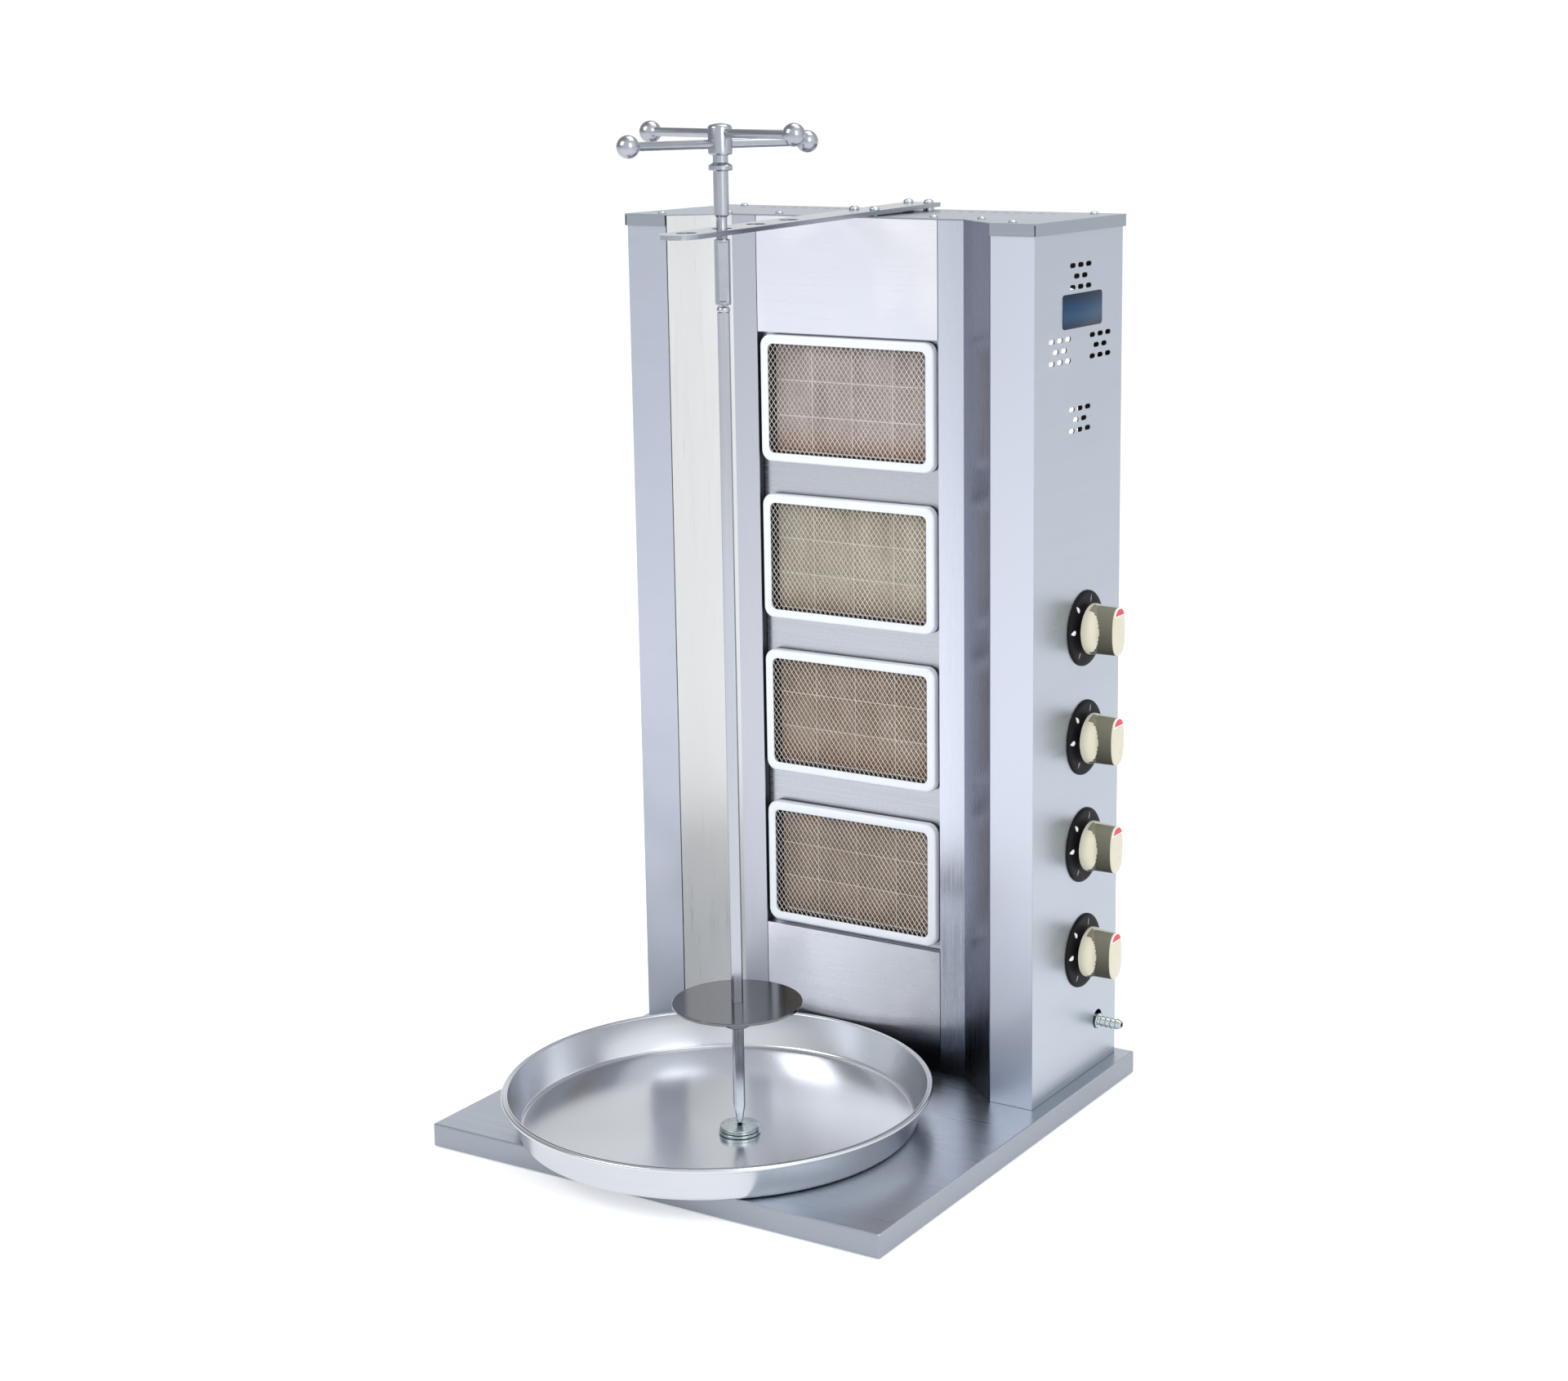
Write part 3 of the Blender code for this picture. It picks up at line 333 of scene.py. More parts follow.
def spun_metal(name, colour, roughness, centre, pitch=0.0006, anisotropy=0.6, wear=0.07):
    """Metal turned on a lathe: fine rings round an upright axis, with stretched highlights."""
    made = Recipe(name, colour, roughness, 1.0, anisotropic=anisotropy)
    shift = made.add("ShaderNodeVectorMath", operation="SUBTRACT")
    made.link(made.where, shift.inputs[0])
    shift.inputs[1].default_value = (centre.x, centre.y, 0)
    flat = made.add("ShaderNodeVectorMath", operation="MULTIPLY")
    made.link(shift.outputs[0], flat.inputs[0])
    flat.inputs[1].default_value = (1, 1, 0)
    length = made.add("ShaderNodeVectorMath", operation="LENGTH")
    made.link(flat.outputs[0], length.inputs[0])
    ring = made.add("ShaderNodeCombineXYZ")
    made.link(length.outputs["Value"], ring.inputs[0])
    made.link(made.along("Z"), ring.inputs[1])
    lines = made.noise(ring.outputs[0], 1 / pitch, 3.0, 0.6)
    clouds = made.noise(made.where, 9.0, 1.0)
    tone = made.mixed(made.spread(lines, 0, 1), shade(colour, 1 - wear), shade(colour, 1 + wear))
    tone = made.mixed(made.spread(clouds, 0.0, 0.5, 0.2, 0.8), tone, shade(colour, 1 - 1.6 * wear))
    made.drive("Base Color", tone)
    uneven = made.spread(clouds, roughness - 0.02, roughness + 0.03, 0.2, 0.8)
    made.drive("Roughness", uneven)
    tangent = made.add("ShaderNodeTangent", direction_type="RADIAL", axis="Z")
    made.drive("Tangent", tangent.outputs[0])
    made.bump(lines, 0.04, 0.00005)
    return made.material


def plain_metal(name, colour, roughness, mottle=0.08, grain=220.0, bump=0.08):
    """Plated, cast or polished metal with a faint handled mottle."""
    made = Recipe(name, colour, roughness, 1.0)
    fine = made.noise(made.where, grain, 4.0, 0.6)
    clouds = made.noise(made.where, 30.0, 3.0)
    tone = made.mixed(made.spread(clouds, 0, 1), shade(colour, 1 - mottle), shade(colour, 1 + mottle))
    made.drive("Base Color", tone)
    made.drive("Roughness", made.spread(fine, roughness - 0.04, roughness + 0.08))
    made.bump(fine, bump, 0.0001)
    return made.material


def moulded(name, colour, roughness, grain=900.0, bump=0.08, mottle=0.05, **sockets):
    """Moulded plastic, enamel or rubber: a fine skin, faint tone changes, uneven gloss."""
    made = Recipe(name, colour, roughness, 0.0, **sockets)
    skin = made.noise(made.where, grain, 3.0)
    clouds = made.noise(made.where, 35.0, 3.0)
    tone = made.mixed(made.spread(clouds, 0, 1), shade(colour, 1 - mottle), shade(colour, 1 + mottle))
    made.drive("Base Color", tone)
    made.drive("Roughness", made.spread(clouds, roughness - 0.05, roughness + 0.07))
    made.bump(skin, bump, 0.0001)
    return made.material


def ceramic_tile(number, dull, colour, sheen, heated):
    """Fired tile with a grid of burner holes, browned by heat towards its lower edge."""
    made = Recipe(f"ceramic_tile_{number}", colour, 0.85)
    holes = made.add("ShaderNodeTexVoronoi", feature="F1")
    holes.inputs["Scale"].default_value = 560.0
    holes.inputs["Randomness"].default_value = 0.15
    made.link(made.where, holes.inputs["Vector"])
    dots = made.spread(holes.outputs["Distance"], 0.0, 1.0, 0.25, 0.42)
    clouds = made.noise(made.scaled((9, 9, 14)), 1.0, 4.0, 0.6)
    streaks = made.noise(made.scaled((40, 40, 12)), 1.0, 3.0)
    tone = made.mixed(made.spread(clouds, 0, 1), dull, colour)
    tone = made.mixed(made.spread(streaks, 0.0, 0.7), tone, sheen)
    heat = made.spread(made.share_up(), 0.8, 0.0, 0.02, 0.26)
    tone = made.mixed(heat, tone, heated)
    # Painted shade: the holes are darkened for the shade inside them.
    tone = made.mixed(dots, shade(colour, 0.30), tone)
    made.drive("Base Color", tone)
    made.bump(dots, 0.5, 0.0006)
    return made.material


def cement():
    """Pale fibre cement between the tiles."""
    made = Recipe("joint_cement", (0.78, 0.72, 0.66), 0.95)
    grit = made.noise(made.where, 700.0, 4.0)
    tone = made.mixed(made.spread(grit, 0, 1), (0.62, 0.56, 0.50), (0.86, 0.81, 0.76))
    made.drive("Base Color", tone)
    made.bump(grit, 0.4, 0.0004)
    return made.material


def dark_steel_and_shadow():
    """Dark scaled steel inside the burners, also laid along the back of each enamel frame as a painted shadow
    line.
    """
    colour = (0.055, 0.055, 0.06)
    made = Recipe("burnt_steel_and_shadow", colour, 0.55, 0.8)
    scale = made.noise(made.where, 60.0, 5.0, 0.65)
    tone = made.mixed(made.spread(scale, 0, 1), colour, (0.11, 0.085, 0.07))
    made.drive("Base Color", tone)
    made.drive("Roughness", made.spread(scale, 0.45, 0.7))
    made.bump(scale, 0.2, 0.0003)
    return made.material


def shaded_flank():
    """The grip's front flank: the same cream with painted shade on it, a little duller, and greyer and darker
    towards its foot.
    """
    made = Recipe("cream_flank_painted_shade", (0.14, 0.135, 0.10), 0.38, 0.0, specular_ior_level=0.25)
    fade = made.spread(made.share_up(), 0, 1, 0.05, 0.95)
    skin = made.noise(made.where, 900.0, 3.0)
    tone = made.mixed(fade, (0.028, 0.027, 0.018), (0.19, 0.185, 0.135))
    tone = made.mixed(made.spread(skin, 0, 0.10), tone, (0.20, 0.19, 0.14))
    made.drive("Base Color", tone)
    made.bump(skin, 0.04, 0.0001)
    return made.material


def blue_nameplate():
    """Blank nameplate: glossy, night blue at the top and bottom and paler across the middle."""
    made = Recipe("nameplate_blue", (0.02, 0.06, 0.14), 0.42, 0.0, specular_ior_level=0.2)
    band = made.add("ShaderNodeValToRGB")
    stops = ((0.0, (0.006, 0.014, 0.028)), (0.34, (0.015, 0.055, 0.12)), (0.62, (0.010, 0.040, 0.095)),
             (1.0, (0.005, 0.012, 0.028)))
    while len(band.color_ramp.elements) < len(stops):
        band.color_ramp.elements.new(0.5)
    for element, (spot, colour) in zip(band.color_ramp.elements, stops):
        element.position = spot
        element.color = (*colour, 1)
    made.link(made.share_up(), band.inputs["Fac"])
    speckle = made.noise(made.where, 400.0, 2.0)
    tone = made.mixed(made.spread(speckle, 0, 0.10), band.outputs["Color"], (0.02, 0.05, 0.10))
    made.drive("Base Color", tone)
    made.bump(speckle, 0.03, 0.0001)
    return made.material


INNER = (0.075, 0.072, 0.070)   # dark tone for the faces turned into the cabinet
# Painted light and shade: the wing in front of the right wall gets a lighter tone than the wall's outer face.
WALL_STEEL = brushed_steel("wall_steel", (0.47, 0.51, 0.565), 0.36, "y", 0.05,
                           flat=(WALL_X - SHEET / 2, 1, (0.60, 0.63, 0.71)),
                           inside=(WALL_X - SHEET / 2, 1))
# Painted shade: the left wall dims towards its foot.
LEFT_WALL = brushed_steel("left_wall_steel", (0.49, 0.52, 0.60), 0.34, "x", 0.03, low=(0.36, 0.5, 0.55),
                          inside=(LEFT_X + SHEET / 2, -1))
BACK_STEEL = brushed_steel("back_panel_steel", (0.50, 0.53, 0.59), 0.36, "x", 0.03,
                           behind=(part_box("back_panel")[1].y - SHEET / 2, INNER))
COVER_STEEL = brushed_steel("cover_steel", (0.34, 0.375, 0.42), 0.34, "x")
# Painted shade: the tray's sides below its top edge are dimmed.
BASE_STEEL = brushed_steel("base_steel", (0.48, 0.52, 0.58), 0.30, "x", 0.015, low=(0.0238, 0.0006, 0.62))
# Painted reflection and shade: broad soft bluish patches across the upper panel.
PANEL_STEEL = brushed_steel("panel_steel", (0.90, 0.90, 0.94), 0.30, "x", 0.02, cloud=(0.77, 0.79, 0.88))
# Painted dark reflection and shade at the lower panel's foot, and broad soft patches of painted reflection.
LOW_STEEL = brushed_steel("lower_panel_steel", (0.60, 0.61, 0.67), 0.30, "x", 0.02, painted_dark_foot=(0.077, 0.034, 0.06),
                          cloud=(0.82, 0.83, 0.88))
# Painted shade: the left reflector dims towards its foot and its flat strip is darker than its slope; its
# return flange is near black as a painted shadow.
LEFT_STEEL = brushed_steel("left_reflector_steel", (0.63, 0.635, 0.63), 0.32, "z", 0.02,
                           low=(0.30, 0.45, 0.80), flat=(LEFT_EDGE, -1, (0.50, 0.52, 0.58)),
                           painted_shadow_past=(RECESS_Y + SHEET, (0.05, 0.055, 0.06)))
# Painted reflection and shade: the slope's dark blue stands in for what the polished sheet reflects, the flat
# strip gets a pale steel tone, and the foot goes near black as painted shade.
RIGHT_STEEL = brushed_steel("right_reflector_steel", (0.19, 0.205, 0.27), 0.24, "z", 0.03,
                            painted_dark_foot=(0.08, 0.08, 0.12), flat=(STRIP_EDGE, 1, (0.62, 0.65, 0.74)))
FASCIA_STEEL = brushed_steel("fascia_steel", (0.45, 0.47, 0.51), 0.26, "x", 0.015)
BODY_STEEL = brushed_steel("burner_body_steel", (0.40, 0.39, 0.38), 0.42, "x", 0.12)
ARM_STEEL = brushed_steel("arm_steel", (0.36, 0.38, 0.42), 0.24, "y")
BAR_STEEL = brushed_steel("bar_steel", (0.43, 0.45, 0.49), 0.15, "z", 0.08)
PAN_METAL = spun_metal("pan_aluminium", (0.62, 0.64, 0.67), 0.20, PAN_MIDDLE, 0.0012, 0.5, 0.03)
DISC_STEEL = spun_metal("disc_steel", (0.155, 0.16, 0.175), 0.12, SPIT, 0.0008, 0.2, 0.04)
ZINC = plain_metal("zinc_plate", (0.50, 0.56, 0.57), 0.24)
SATIN_CHROME = plain_metal("satin_chrome", (0.38, 0.40, 0.44), 0.20, 0.06, 500.0, 0.05)
MESH_WIRE = plain_metal("mesh_wire", (0.64, 0.61, 0.57), 0.38, 0.12, 400.0)
BRASS = plain_metal("tap_brass", (0.58, 0.42, 0.18), 0.36, 0.12)
ENAMEL = moulded("white_enamel", (0.76, 0.80, 0.85), 0.20, 300.0, 0.03, 0.025, coat_weight=0.5)
BLACK = moulded("black_plastic", (0.006, 0.006, 0.007), 0.45, 900.0, 0.03, 0.15, specular_ior_level=0.10)
CREAM = moulded("cream_plastic", (0.60, 0.565, 0.44), 0.30, 900.0, 0.04, 0.03)
CREAM_FLANK_SHADE = shaded_flank()
WHITE_INK = moulded("white_ink", (0.82, 0.82, 0.80), 0.45, 900.0, 0.05, 0.06)
GREY_INK = moulded("grey_ink", (0.22, 0.22, 0.22), 0.45, 900.0, 0.05, 0.10)
RED = moulded("red_pointer", (0.62, 0.025, 0.035), 0.32, 900.0, 0.04, 0.08)
RUBBER = moulded("foot_rubber", (0.025, 0.025, 0.025), 0.80, 350.0, 0.30, 0.20)
TILES = (ceramic_tile(1, (0.30, 0.235, 0.215), (0.46, 0.37, 0.345), (0.60, 0.54, 0.52), (0.42, 0.20, 0.11)),
         ceramic_tile(2, (0.31, 0.26, 0.17), (0.47, 0.41, 0.29), (0.62, 0.57, 0.44), (0.33, 0.22, 0.12)),
         ceramic_tile(3, (0.20, 0.125, 0.075), (0.33, 0.215, 0.14), (0.46, 0.36, 0.27), (0.27, 0.12, 0.05)),
         ceramic_tile(4, (0.20, 0.14, 0.10), (0.32, 0.235, 0.175), (0.44, 0.32, 0.22), (0.24, 0.13, 0.07)))
CEMENT = cement()
BURNT_AND_SHADOW = dark_steel_and_shadow()
NAVY = blue_nameplate()


# ---------------------------------------------------------------- CAD nodes that stay
def finish_node(name, material, bevel=0.0):
    node = NODES[name]
    node.data.materials.clear()
    node.data.materials.append(material)
    if bevel:
        round_edges(node, bevel)


def finish_nodes():
    sheets = (("base_tray", BASE_STEEL), ("side_panel_right", WALL_STEEL), ("side_panel_left", LEFT_WALL),
              ("reflector_left", LEFT_STEEL), ("reflector_right", RIGHT_STEEL), ("back_panel", BACK_STEEL),
              ("top_cover", COVER_STEEL), ("upper_panel", PANEL_STEEL), ("lower_panel", LOW_STEEL),
              ("burner_fascia", FASCIA_STEEL))
    for name, material in sheets:
        finish_node(name, material, 0.0004)
    finish_node("support_arm", ARM_STEEL, 0.0005)
    finish_node("gas_manifold", ZINC)
    finish_node("disc_lock_screw", ZINC, 0.0003)
    for number in FOURS:
        finish_node(f"burner_body_{number}", BODY_STEEL, 0.0004)
        finish_node(f"valve_body_{number}", BRASS, 0.0003)
        finish_node(f"valve_plug_{number}", BRASS, 0.0002)
        finish_node(f"foot_{number}", RUBBER, 0.0010)


# ---------------------------------------------------------------- burners
def make_burner(number):
    """Enamelled frame with a rolled border, open in the middle, and what it holds."""
    low, high, centre = span(f"burner_frame_{number}")
    width, height = high.x - low.x, high.z - low.z
    spot = (centre.x, centre.z)

    def ring(inset, y, radius):
        outline = rounded_rectangle(width - 2 * inset, height - 2 * inset, radius, 8, spot)
        return [(x, y, z) for x, z in outline]

    border, corner = 0.0095, 0.012
    outer_roll, inner_roll = 0.0030, 0.0014
    thick, skirt = 0.0018, 0.003                # behind the border, and how far the skirt is set in
    painted_shadow_strip = 0.0030                         # painted shadow: dark strip along the frame's back, for the gap against the fascia
    front = low.y
    rings = [ring(0, high.y, corner), ring(0, high.y - painted_shadow_strip, corner)]
    for step in range(7):
        angle = radians(15 * step)
        inset = outer_roll * (1 - cos(angle))
        rings.append(ring(inset, front + outer_roll - outer_roll * sin(angle), corner - inset))
    for step in range(1, 6):
        angle = radians(18 * step)
        inset = border - inner_roll * (1 - sin(angle))
        rings.append(ring(inset, front + inner_roll * (1 - cos(angle)), 0.0065))
    rings += [ring(border, front + thick, 0.006), ring(skirt, front + thick, 0.009),
              ring(skirt, high.y, 0.009)]
    bm = bmesh.new()
    add_loft(bm, rings, closed=True)
    frame_piece = piece(f"enamel_frame_{number}", bm, ENAMEL, "root", [f"burner_frame_{number}"],
                        50)
    # Painted shadow: the rear strip of the frame's outer side takes the dark steel, standing in for the
    # shadow in the gap behind the frame.
    frame_piece.data.materials.append(BURNT_AND_SHADOW)
    for side in frame_piece.data.polygons:
        if side.center.y > high.y - painted_shadow_strip - 0.0001:
            side.material_index = 1
    make_mesh(number)
    make_tiles(number)
    make_liner(number)


def make_mesh(number):
    """Expanded metal: two families of slanting strands that make upright diamonds."""
    low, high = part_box(f"burner_mesh_{number}")
    pitch_x, pitch_z, strand, thick = 0.0058, 0.0080, 0.00038, 0.00030
    width, height = high.x - low.x, high.z - low.z
    run = height * pitch_x / pitch_z            # sideways travel of a strand from bottom to top
    count = int((width + run) / pitch_x) + 1
    bm = bmesh.new()
    for lean in (1, -1):
        y = (low.y + high.y) / 2 + 0.00012 * lean
        for index in range(count):
            foot = -run + pitch_x * (index + 0.5)
            ends = clipped(foot, run, width)
            if not ends:
                continue
            spots = []
            for share in ends:
                across = foot + run * share
                x = low.x + across if lean > 0 else high.x - across
                spots.append(Vector((x, y, low.z + height * share)))
            add_strand(bm, *spots, strand, thick)
    piece(f"diamond_mesh_{number}", bm, MESH_WIRE, "root", [f"burner_mesh_{number}"], 20)


def clipped(foot, run, width):
    """Shares of a strand's rise between which it is inside the mesh's width."""
    first = max(0.0, -foot / run)
    last = min(1.0, (width - foot) / run)
    return (first, last) if last - first > 0.01 else None


def add_strand(bm, start, end, half, thick):
    side = (end - start).normalized().cross(Vector((0, 1, 0))) * half
    depth = Vector((0, thick, 0))
    add_loft(bm, [[spot + side, spot + depth, spot - side, spot - depth] for spot in (start, end)])


def make_tiles(number):
    """Four by three perforated tiles on a cement bed, set back behind the mesh."""
    low, high, centre = span(f"ceramic_plaque_{number}")
    columns, rows, pitch_x, pitch_z, joint = 4, 3, 0.0490, 0.0374, 0.0011
    thick, corner, chamfer = 0.0036, 0.0012, 0.0004
    width, height = pitch_x - joint, pitch_z - joint
    face = high.y - thick
    bm = bmesh.new()
    for column in range(columns):
        for row in range(rows):
            spot = (centre.x + pitch_x * (column - (columns - 1) / 2),
                    centre.z + pitch_z * (row - (rows - 1) / 2))
            back = rounded_rectangle(width, height, corner, 3, spot)
            edge = rounded_rectangle(width - 2 * chamfer, height - 2 * chamfer, corner - 0.0002, 3, spot)
            add_loft(bm, [[(x, y, z) for x, z in outline] for outline, y in
                          ((back, high.y - 0.0010), (back, face + 0.0005), (edge, face))])
    piece(f"ceramic_tiles_{number}", bm, TILES[number - 1], "root", [f"ceramic_plaque_{number}"],
          50)
    bm = bmesh.new()
    bed = rounded_rectangle(high.x - low.x - 0.001, high.z - low.z - 0.001, 0.004, 4, (centre.x, centre.z))
    add_loft(bm, [[(x, y, z) for x, z in bed] for y in (high.y, face + 0.0009)])
    piece(f"cement_bed_{number}", bm, CEMENT, "root")


def make_liner(number):
    """Dark steel trough between the mesh and the tiles, with a lip over the tiles' ends."""
    low, high, centre = span(f"burner_mesh_{number}")
    slack, wall, lip_sheet = 0.0008, 0.0010, 0.0006
    lip_x, lip_z = 0.0085, 0.0065               # how far the lip covers the tiles' ends
    width, height = high.x - low.x - slack, high.z - low.z - slack
    start, end = high.y + CLEAR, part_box(f"ceramic_plaque_{number}")[1].y - 0.0040

    def ring(across, up, y):
        outline = rounded_rectangle(width - 2 * across, height - 2 * up, 0.005, 4, (centre.x, centre.z))
        return [(x, y, z) for x, z in outline]

    bm = bmesh.new()
    add_loft(bm, [ring(0, 0, start), ring(0, 0, end), ring(lip_x, lip_z, end),
                  ring(lip_x, lip_z, end - lip_sheet), ring(wall, wall, end - lip_sheet),
                  ring(wall, wall, start)], closed=True)
    piece(f"burner_liner_{number}", bm, BURNT_AND_SHADOW, "root")


# ---------------------------------------------------------------- knobs
def make_knob(number):
    """Domed knob with a bar grip across it and the stem behind it."""
    low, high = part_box(f"knob_{number}")
    centre = span(f"knob_bezel_{number}")[2]
    axis = Vector((0, centre.y, centre.z))
    face, back, radius = high.x - 0.0004, WALL_X + KNOB_CLEAR, (high.z - low.z) / 2
    stem = 0.0040
    dome = back + KNOB_DOME
    foot = back + 0.0022        # short upright edge under the dome
    angles = [radians(90 - 6 * step) for step in range(1, 15)]
    profile = [(0, dome)]
    profile += [(radius * cos(a) ** 0.72, foot + (dome - foot) * sin(a) ** 0.85) for a in angles]
    profile += [(radius, foot), (radius, back + 0.0006), (radius - 0.0006, back),
                (stem, back), (stem, low.x), (0, low.x)]
    bm = bmesh.new()
    add_turned(bm, profile, 72, along_x(axis))
    add_grip(bm, axis, WALL_X + GRIP_START, face)
    knob = piece(f"cream_knob_{number}", bm, CREAM, f"knob_{number}", [f"knob_{number}"], 40)
    # Painted shade: the grip's front flank gets the darker cream.
    knob.data.materials.append(CREAM_FLANK_SHADE)
    for flank in knob.data.polygons:
        spot = flank.center - axis
        if flank.normal.y < -0.12 and spot.x < face - GRIP_EDGE and on_grip(spot):
            flank.material_index = 1
    make_pointer(number, axis, face)


def grip_outline(scale_y, scale_z, steps=48):
    """Long oval, a little squarer than an ellipse."""
    points = []
    for step in range(steps):
        angle = tau * (step + 0.5) / steps
        across, along = cos(angle), sin(angle)
        y = abs(across) ** OVAL * (1 if across > 0 else -1) * GRIP_W / 2 * scale_y
        z = abs(along) ** OVAL * (1 if along > 0 else -1) * GRIP_H / 2 * scale_z
        points.append((y, z))
    return points


def on_grip(spot):
    """True on the grip's wall and not on the dome's round face."""
    level = (abs(spot.y) / (GRIP_W / 2)) ** (2 / OVAL) + (abs(spot.z) / (GRIP_H / 2)) ** (2 / OVAL)
    return level > 0.80 and abs(spot.y) < GRIP_W / 2 and spot.x > WALL_X + GRIP_START


def add_grip(bm, axis, start, face):
    """Upright oval that narrows a little towards its face, with a rounded edge."""
    steps = [(start, 1.0, 1.0), (start + 0.0050, 0.985, 0.995)]
    for step in range(7):
        angle = radians(15 * step)
        shrink = GRIP_EDGE * (1 - cos(angle))
        steps.append((face - GRIP_EDGE + GRIP_EDGE * sin(angle),
                      0.975 - shrink / GRIP_W * 2, 0.985 - shrink / GRIP_H * 2))
    rings = [[axis + Vector((x, y, z)) for y, z in grip_outline(*scale)] for x, *scale in steps]
    add_loft(bm, rings)


def make_pointer(number, axis, face):
    """Red cap with a pale rim across the top of the grip's face."""
    parts = (("rim", WHITE_INK, 0.965, 0.0158, 0.0002), ("pointer", RED, 0.86, 0.0170, 0.0003))
    for name, material, size, cut, proud in parts:
        outline = [(y, z) for y, z in grip_outline(size, 0.5 + size / 2) if z > cut]
        half = max(y for y, _ in outline) * 1.02
        outline += [(-half, cut), (half, cut)]
        bm = bmesh.new()
        add_loft(bm, [[axis + Vector((x, y, z)) for y, z in outline] for x in (face - 0.0010, face + proud)])
        piece(f"knob_{name}_{number}", bm, material, f"knob_{number}")


def make_bezel(number):
    """Black disc behind the knob, with four flame marks round it."""
    low, high, centre = span(f"knob_bezel_{number}")
    radius, back, face = (high.z - low.z) / 2, low.x, high.x - 0.0003
    profile = [(0.0090, back), (0.0090, face - 0.0006), (radius - 0.0060, face)]
    profile += [(radius - 0.0045 + 0.0045 * sin(radians(a)), face - 0.0022 * (1 - cos(radians(a))))
                for a in range(15, 91, 15)]
    profile += [(radius, back)]
    bm = bmesh.new()
    add_turned(bm, profile, 96, along_x(Vector((0, centre.y, centre.z))), closed=True)
    piece(f"black_bezel_{number}", bm, BLACK, "root", [f"knob_bezel_{number}"], 40)
    # Angle in degrees, length and half width of each mark
    marks = ((180, 0.0052, 0.0022, WHITE_INK), (133, 0.0046, 0.0019, WHITE_INK),
             (76, 0.0040, 0.0010, GREY_INK), (236, 0.0034, 0.0011, GREY_INK))
    for index, (angle, length, half, ink) in enumerate(marks, 1):
        bm = bmesh.new()
        add_flame(bm, Vector((0, centre.y, centre.z)), radians(angle), length, half, high.x)
        piece(f"flame_mark_{number}_{index}", bm, ink, "root")


def add_flame(bm, axis, angle, length, half, face):
    """Teardrop with its tip outward, beside the knob."""
    reach = 0.0315                              # its middle, out from the knob's axis
    out = Vector((0, cos(angle), sin(angle)))
    side = Vector((0, -sin(angle), cos(angle)))
    outline = []
    for step in range(20):
        turn = tau * step / 20
        along = length * cos(turn)
        across = half * sin(turn) * (1 - 0.55 * cos(turn))
        outline.append(out * (reach + along) + side * across)
    add_loft(bm, [[axis + spot + Vector((x, 0, 0)) for spot in outline]
                  for x in (face - 0.0009, face - 0.0001)])


# ---------------------------------------------------------------- right wall
def make_nameplate():
    """Blank plate between the vents."""
    y, z = FRONT_Y + 0.1022, 0.8396
    width, height, corner, glue = 0.0857, 0.0343, 0.0040, 0.00005
    bm = bmesh.new()
    rings = []
    for x, inset in ((0.0, 0.0), (0.0005, 0.0), (0.0008, 0.0004)):
        outline = rounded_rectangle(width - 2 * inset, height - 2 * inset, corner - inset, 8, (y, z))
        rings.append([(WALL_X + glue + x, spot_y, spot_z) for spot_y, spot_z in outline])
    add_loft(bm, rings)
    piece("nameplate", bm, NAVY, "root", angle=60)


def make_hose_tail():
    """Barbed tail for the gas hose, with a round shoulder against the wall."""
    low, high, centre = span("hose_nozzle")
    shoulder, bore, flange = low.x + 0.0122, 0.0026, 0.0080
    profile = [(bore, low.x), (0.0072, low.x), (flange, low.x + 0.0008), (flange, shoulder - 0.0006),
               (0.0074, shoulder), (0.0050, shoulder), (0.0046, shoulder + 0.0010)]
    barbs, tip = 4, high.x
    pitch = (tip - shoulder - 0.003) / barbs
    for barb in range(barbs):
        base = shoulder + 0.0020 + pitch * barb
        profile += [(0.0042, base), (0.0057, base + 0.0005), (0.0058, base + 0.0011), (0.0054, base + 0.0024),
                    (0.0044, base + pitch - 0.0006)]
    profile += [(0.0042, tip - 0.0003), (0.0039, tip), (bore, tip)]
    bm = bmesh.new()
    add_turned(bm, profile, 40, along_x(Vector((0, centre.y, centre.z))), closed=True)
    piece("hose_tail", bm, ZINC, "root", ["hose_nozzle"], 40)


# ---------------------------------------------------------------- top
def screw_profile(radius, height):
    """Domed head with a round drive recess, and a short shank."""
    dome = [(radius * sin(radians(a)), height * (0.35 + 0.65 * cos(radians(a)))) for a in range(30, 91, 15)]
    recess = radius * 0.42
    return [(0, height * 0.45), (recess * 0.8, height * 0.45), (recess, height * 0.95)] + dome + [
        (radius, 0.0002), (radius * 0.5, 0.0002), (radius * 0.5, -0.0004), (0, -0.0004)]


def make_cover_screws():
    # Places out from the centre line and back from the wings' front faces
    right = [(0.209, 0.016), (0.152, 0.057), (0.093, 0.064), (0.215, 0.181)]
    spots = right + [(-x, y) for x, y in right]
    for number, (x, y) in enumerate(spots, 1):
        bm = bmesh.new()
        place = Vector((CENTRE_X + x, FRONT_Y + y, COVER_HIGH.z))
        add_turned(bm, screw_profile(0.0043, 0.0026), 24, Matrix.Translation(place))
        piece(f"cover_screw_{number}", bm, ZINC, "root", angle=30)


